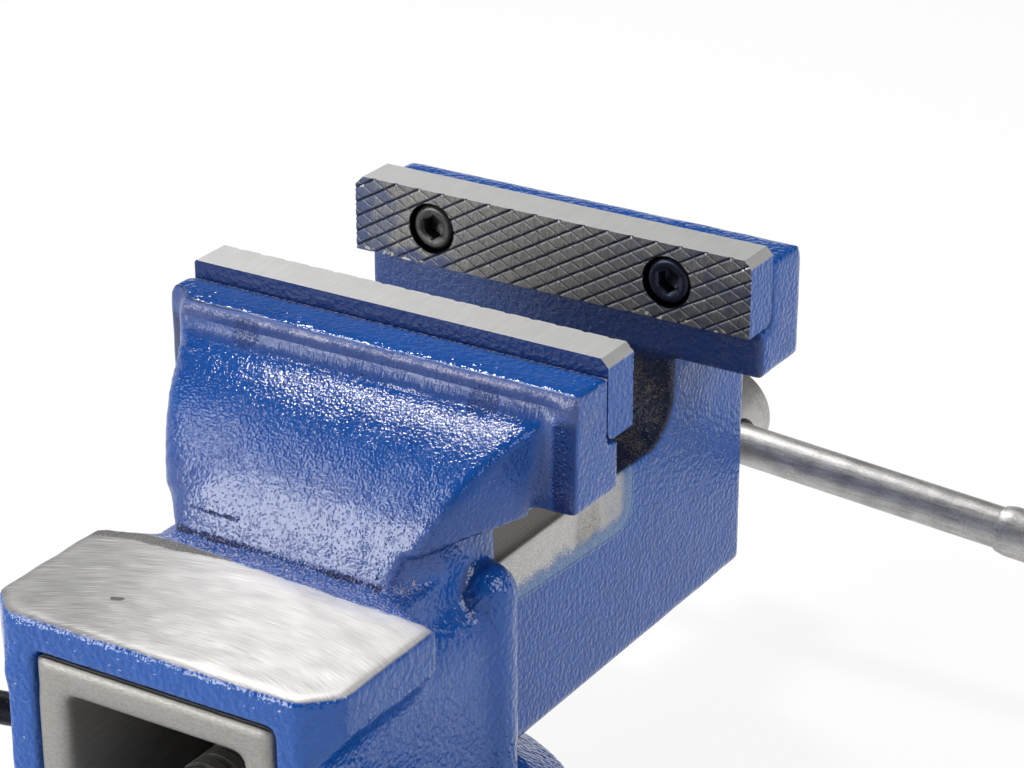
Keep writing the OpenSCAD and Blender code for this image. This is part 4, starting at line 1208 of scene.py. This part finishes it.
def steel_finish(name, colour, rough, metallic=1.0, lines=(6.0, 0.3, 6.0), wear=0.45):
    """Worked metal: fine lines from its making, blotches and small scratches."""
    f = Finish(name)
    line = f.grain(f.stretched(*lines), 1.0, 3.0)
    speck = f.grain(f.place, 0.7, 4.0)
    blotch = f.grain(f.place, 8.0, 3.0)
    scratch = f.step(abs(f.grain(f.stretched(2.2, 7.0, 3.0), 1.0, 2.0)), 0.012, 0.004)
    dark = tuple(c * (1 - wear) for c in colour)
    colour = f.mix(f.step(speck * 0.6 + blotch * 0.7 + line * 0.7, -0.35, 0.3), dark, colour)
    f.feed("Base Color", f.mix(scratch * wear * 0.6, colour, dark))
    f.feed("Metallic", blotch * 0.1 + metallic * 0.95)
    f.feed("Roughness", speck * 0.16 + line * 0.1 + rough)
    f.relief(speck * 0.02 + line * 0.025 - scratch * 0.02)
    return f


SCREW_GREY = (0.075, 0.075, 0.075)
SCREW_BLUE = (0.028, 0.034, 0.058)
BLACK = (0.0, 0.0, 0.0)


def black_screw_finish():
    """Blackened screws: greyer on the left, blue-black on the right."""
    f = Finish("black_screws")
    speck = f.grain(f.place, 0.6, 4.0)
    tone = f.mix(f.step(f.x, -10.0, 10.0), SCREW_GREY, SCREW_BLUE)
    f.feed("Base Color", f.mix(f.step(speck, -0.25, 0.3), f.mix(0.45, tone, BLACK), tone))
    f.feed("Metallic", f.grain(f.place, 6.0) * 0.1 + 0.8)
    f.feed("Roughness", speck * 0.2 + 0.36)
    f.relief(speck * 0.03)
    return f


# Studio

FLOOR_R = 30.0
FLOOR_TONE = 0.88
LENS = 111.13
SENSOR = 36.0
CAMERA_PLACE = (410.5, -564.7, 465.8)
CAMERA_AZIMUTH = math.radians(31.63)
CAMERA_ELEVATION = math.radians(24.16)
VISE_MIDDLE = (0.0, 20.0, 120.0)


def studio():
    """Pale floor and a pale surround."""
    ring = bmesh.new()
    bmesh.ops.create_circle(ring, cap_ends=True, radius=FLOOR_R, segments=96)
    mesh = bpy.data.meshes.new("floor")
    ring.to_mesh(mesh)
    ring.free()
    floor = link(mesh, "floor")
    finish = bpy.data.materials.new("floor")
    finish.use_nodes = True
    f = Nodes(finish.node_tree)
    path = f.node("ShaderNodeLightPath").socket.node.outputs
    seen = Value(f, path["Is Camera Ray"]).most(Value(f, path["Is Glossy Ray"]))
    seen = seen.most(Value(f, path["Is Transmission Ray"]))
    lit = f.node("ShaderNodeBsdfDiffuse", {}, {"Color": (FLOOR_TONE, FLOOR_TONE, FLOOR_TONE, 1.0)})
    glow = f.node("ShaderNodeEmission", {}, {"Strength": 1.0})
    shown = f.node("ShaderNodeMixShader", {}, {0: seen * FLOOR_TONE, 1: lit, 2: glow})
    f.node("ShaderNodeOutputMaterial", {}, {"Surface": shown})
    floor.data.materials.append(finish)

    world = bpy.data.worlds.new("surround")
    bpy.context.scene.world = world
    world.use_nodes = True
    w = Nodes(world.node_tree)
    _, _, height = w.split(w.node("ShaderNodeTexCoord", out="Generated"))
    level = w.step(height, 0.26, 0.14) * 0.9 + 0.1
    glow = w.node("ShaderNodeBackground", {}, {"Color": (1.0, 1.0, 1.0, 1.0), "Strength": level})
    w.node("ShaderNodeOutputWorld", {}, {"Surface": glow})


def softbox(name, direction, distance, size, radiance):
    """Wide soft lamp that looks at the vise from a direction."""
    lamp = bpy.data.lights.new(name, "AREA")
    lamp.shape = "RECTANGLE"
    lamp.size, lamp.size_y = size
    lamp.energy = radiance * math.pi * size[0] * size[1]
    shone = bpy.data.objects.new(name, lamp)
    back = Vector(direction).normalized()
    shone.location = Vector(VISE_MIDDLE) * MM + back * distance
    shone.rotation_euler = back.to_track_quat("Z", "Y").to_euler()
    bpy.context.scene.collection.objects.link(shone)


def photographer():
    """Camera at the photograph's place."""
    level = math.cos(CAMERA_ELEVATION)
    back = Vector((math.sin(CAMERA_AZIMUTH) * level, -math.cos(CAMERA_AZIMUTH) * level,
                   math.sin(CAMERA_ELEVATION)))
    lens = bpy.data.cameras.new("camera")
    lens.sensor_width = SENSOR
    lens.lens = LENS
    camera = bpy.data.objects.new("camera", lens)
    camera.location = Vector(CAMERA_PLACE) * MM
    camera.rotation_mode = "QUATERNION"
    camera.rotation_quaternion = (-back).to_track_quat("-Z", "Y")
    bpy.context.scene.collection.objects.link(camera)
    bpy.context.scene.camera = camera


def lamps():
    """Soft light from the left, from above, from far left and from the right."""
    softbox("left_softbox", (-0.543, -0.804, 0.242), distance=1.5, size=(0.6, 1.0), radiance=10.0)
    softbox("upper_softbox", (-0.46, 0.36, 0.81), distance=1.2, size=(0.23, 0.23), radiance=54.0)
    softbox("far_softbox", (-0.72, -0.36, 0.59), distance=1.3, size=(0.5, 0.5), radiance=7.0)
    softbox("right_softbox", (0.78, 0.08, 0.6), distance=1.4, size=(0.9, 0.9), radiance=4.6)


photographer()
studio()
lamps()
bpy.context.scene.view_settings.view_transform = "Standard"

dress(cast_body(), "vise", "blue_enamel", body_enamel(), "vise_body")
dress(cast_jaw(), "jaw", "blue_enamel", jaw_enamel(), "moving_jaw")
dress(cast_base(), "base", "blue_enamel", base_enamel(), "swivel_base")

moving_finish = plate_finish("moving_plate_steel", -1.0)
fixed_finish = plate_finish("fixed_plate_steel", 1.0)
sheet_piece = grown("knurled_sheet", knurl_tree(), width=2 * JAW_HALF, height=JAW_TOP - PLATE_Z,
                    pitch=KNURL_PITCH, angle=KNURL_ANGLE, depth=KNURL_DEPTH, groove=KNURL_GROOVE,
                    material=moving_finish.material)
sheet = sheet_piece.data.copy()
bpy.data.objects.remove(sheet_piece)
moving_plate = jaw_plate("moving_jaw_plate_steel", sheet, -1, MOVING_FACE_Y, MOVING_SEAT_Y, MOVING_BEVELS)
fixed_plate = jaw_plate("fixed_jaw_plate_steel", sheet, 1, FACE_Y, SEAT_Y, FIXED_BEVELS)
dress(moving_plate, "jaw", "jaw_steel", moving_finish, "moving_jaw_plate")
dress(fixed_plate, "vise", "jaw_steel", fixed_finish, "fixed_jaw_plate")

row = row_tree()
screws = black_screw_finish()
dress(plate_screws("moving_plate_socket_screws", row, -1, MOVING_FACE_Y, screws),
      "jaw", "black_steel", screws, "moving_plate_screws")
dress(plate_screws("fixed_plate_socket_screws", row, 1, FACE_Y, screws),
      "vise", "black_steel", screws, "fixed_plate_screws")

drawn = steel_finish("drawn_steel", (0.6, 0.588, 0.575), 0.5, lines=(9.0, 0.6, 0.6), wear=0.5)
worked = steel_finish("turned_steel", (0.55, 0.54, 0.525), 0.42)
zinc = steel_finish("washer_steel", (0.6, 0.6, 0.58), 0.36, wear=0.3)
black = steel_finish("black_steel", (0.045, 0.045, 0.05), 0.38)
bronze = steel_finish("nut_bronze", (0.55, 0.36, 0.15), 0.35)
plastic = steel_finish("black_plastic", (0.022, 0.022, 0.024), 0.28, 0.0, (9.0, 9.0, 9.0), 0.2)

dress(screw_with_knob(worked), "screw", "bare_steel", worked, "lead_screw")
dress(wound_spring(zinc), "screw", "bare_steel", zinc, "screw_spring")
dress(handle_bar(), "handle", "bare_steel", drawn, "handle_rod")
for side, name in ((1, "right"), (-1, "left")):
    dress(handle_cap(f"handle_cap_{name}_steel", side), "handle", "bare_steel", drawn, f"handle_cap_{name}")
    dress(lever_arm(f"lock_lever_{name}", f"lock_lever_{name}_forging"),
          f"lever_{name}", "black_steel", black, f"lock_lever_{name}")
    dress(ball_grip(f"lever_grip_{name}_ball", side),
          f"lever_{name}", "black_plastic", plastic, f"lever_grip_{name}")

eased_pieces = (
    ("main_nut", "vise", "nut_bronze", bronze, 0.8),
    ("nut_bolts", "vise", "black_steel", black, 0.5),
    ("nut_washers", "vise", "bare_steel", zinc, 0.3),
    ("lock_bolts", "vise", "black_steel", black, 0.7),
    ("lock_washers", "vise", "bare_steel", zinc, 0.35),
    ("thrust_washer", "jaw", "bare_steel", zinc, 0.4),
    ("spring_washer", "jaw", "bare_steel", zinc, 0.3),
    ("retaining_collar", "screw", "bare_steel", zinc, 0.6),
    ("collar_pin", "screw", "black_steel", black, 0.4))
for node, body, slot, finish, width in eased_pieces:
    dress(eased(node, f"{node}_eased", width), body, slot, finish, node)
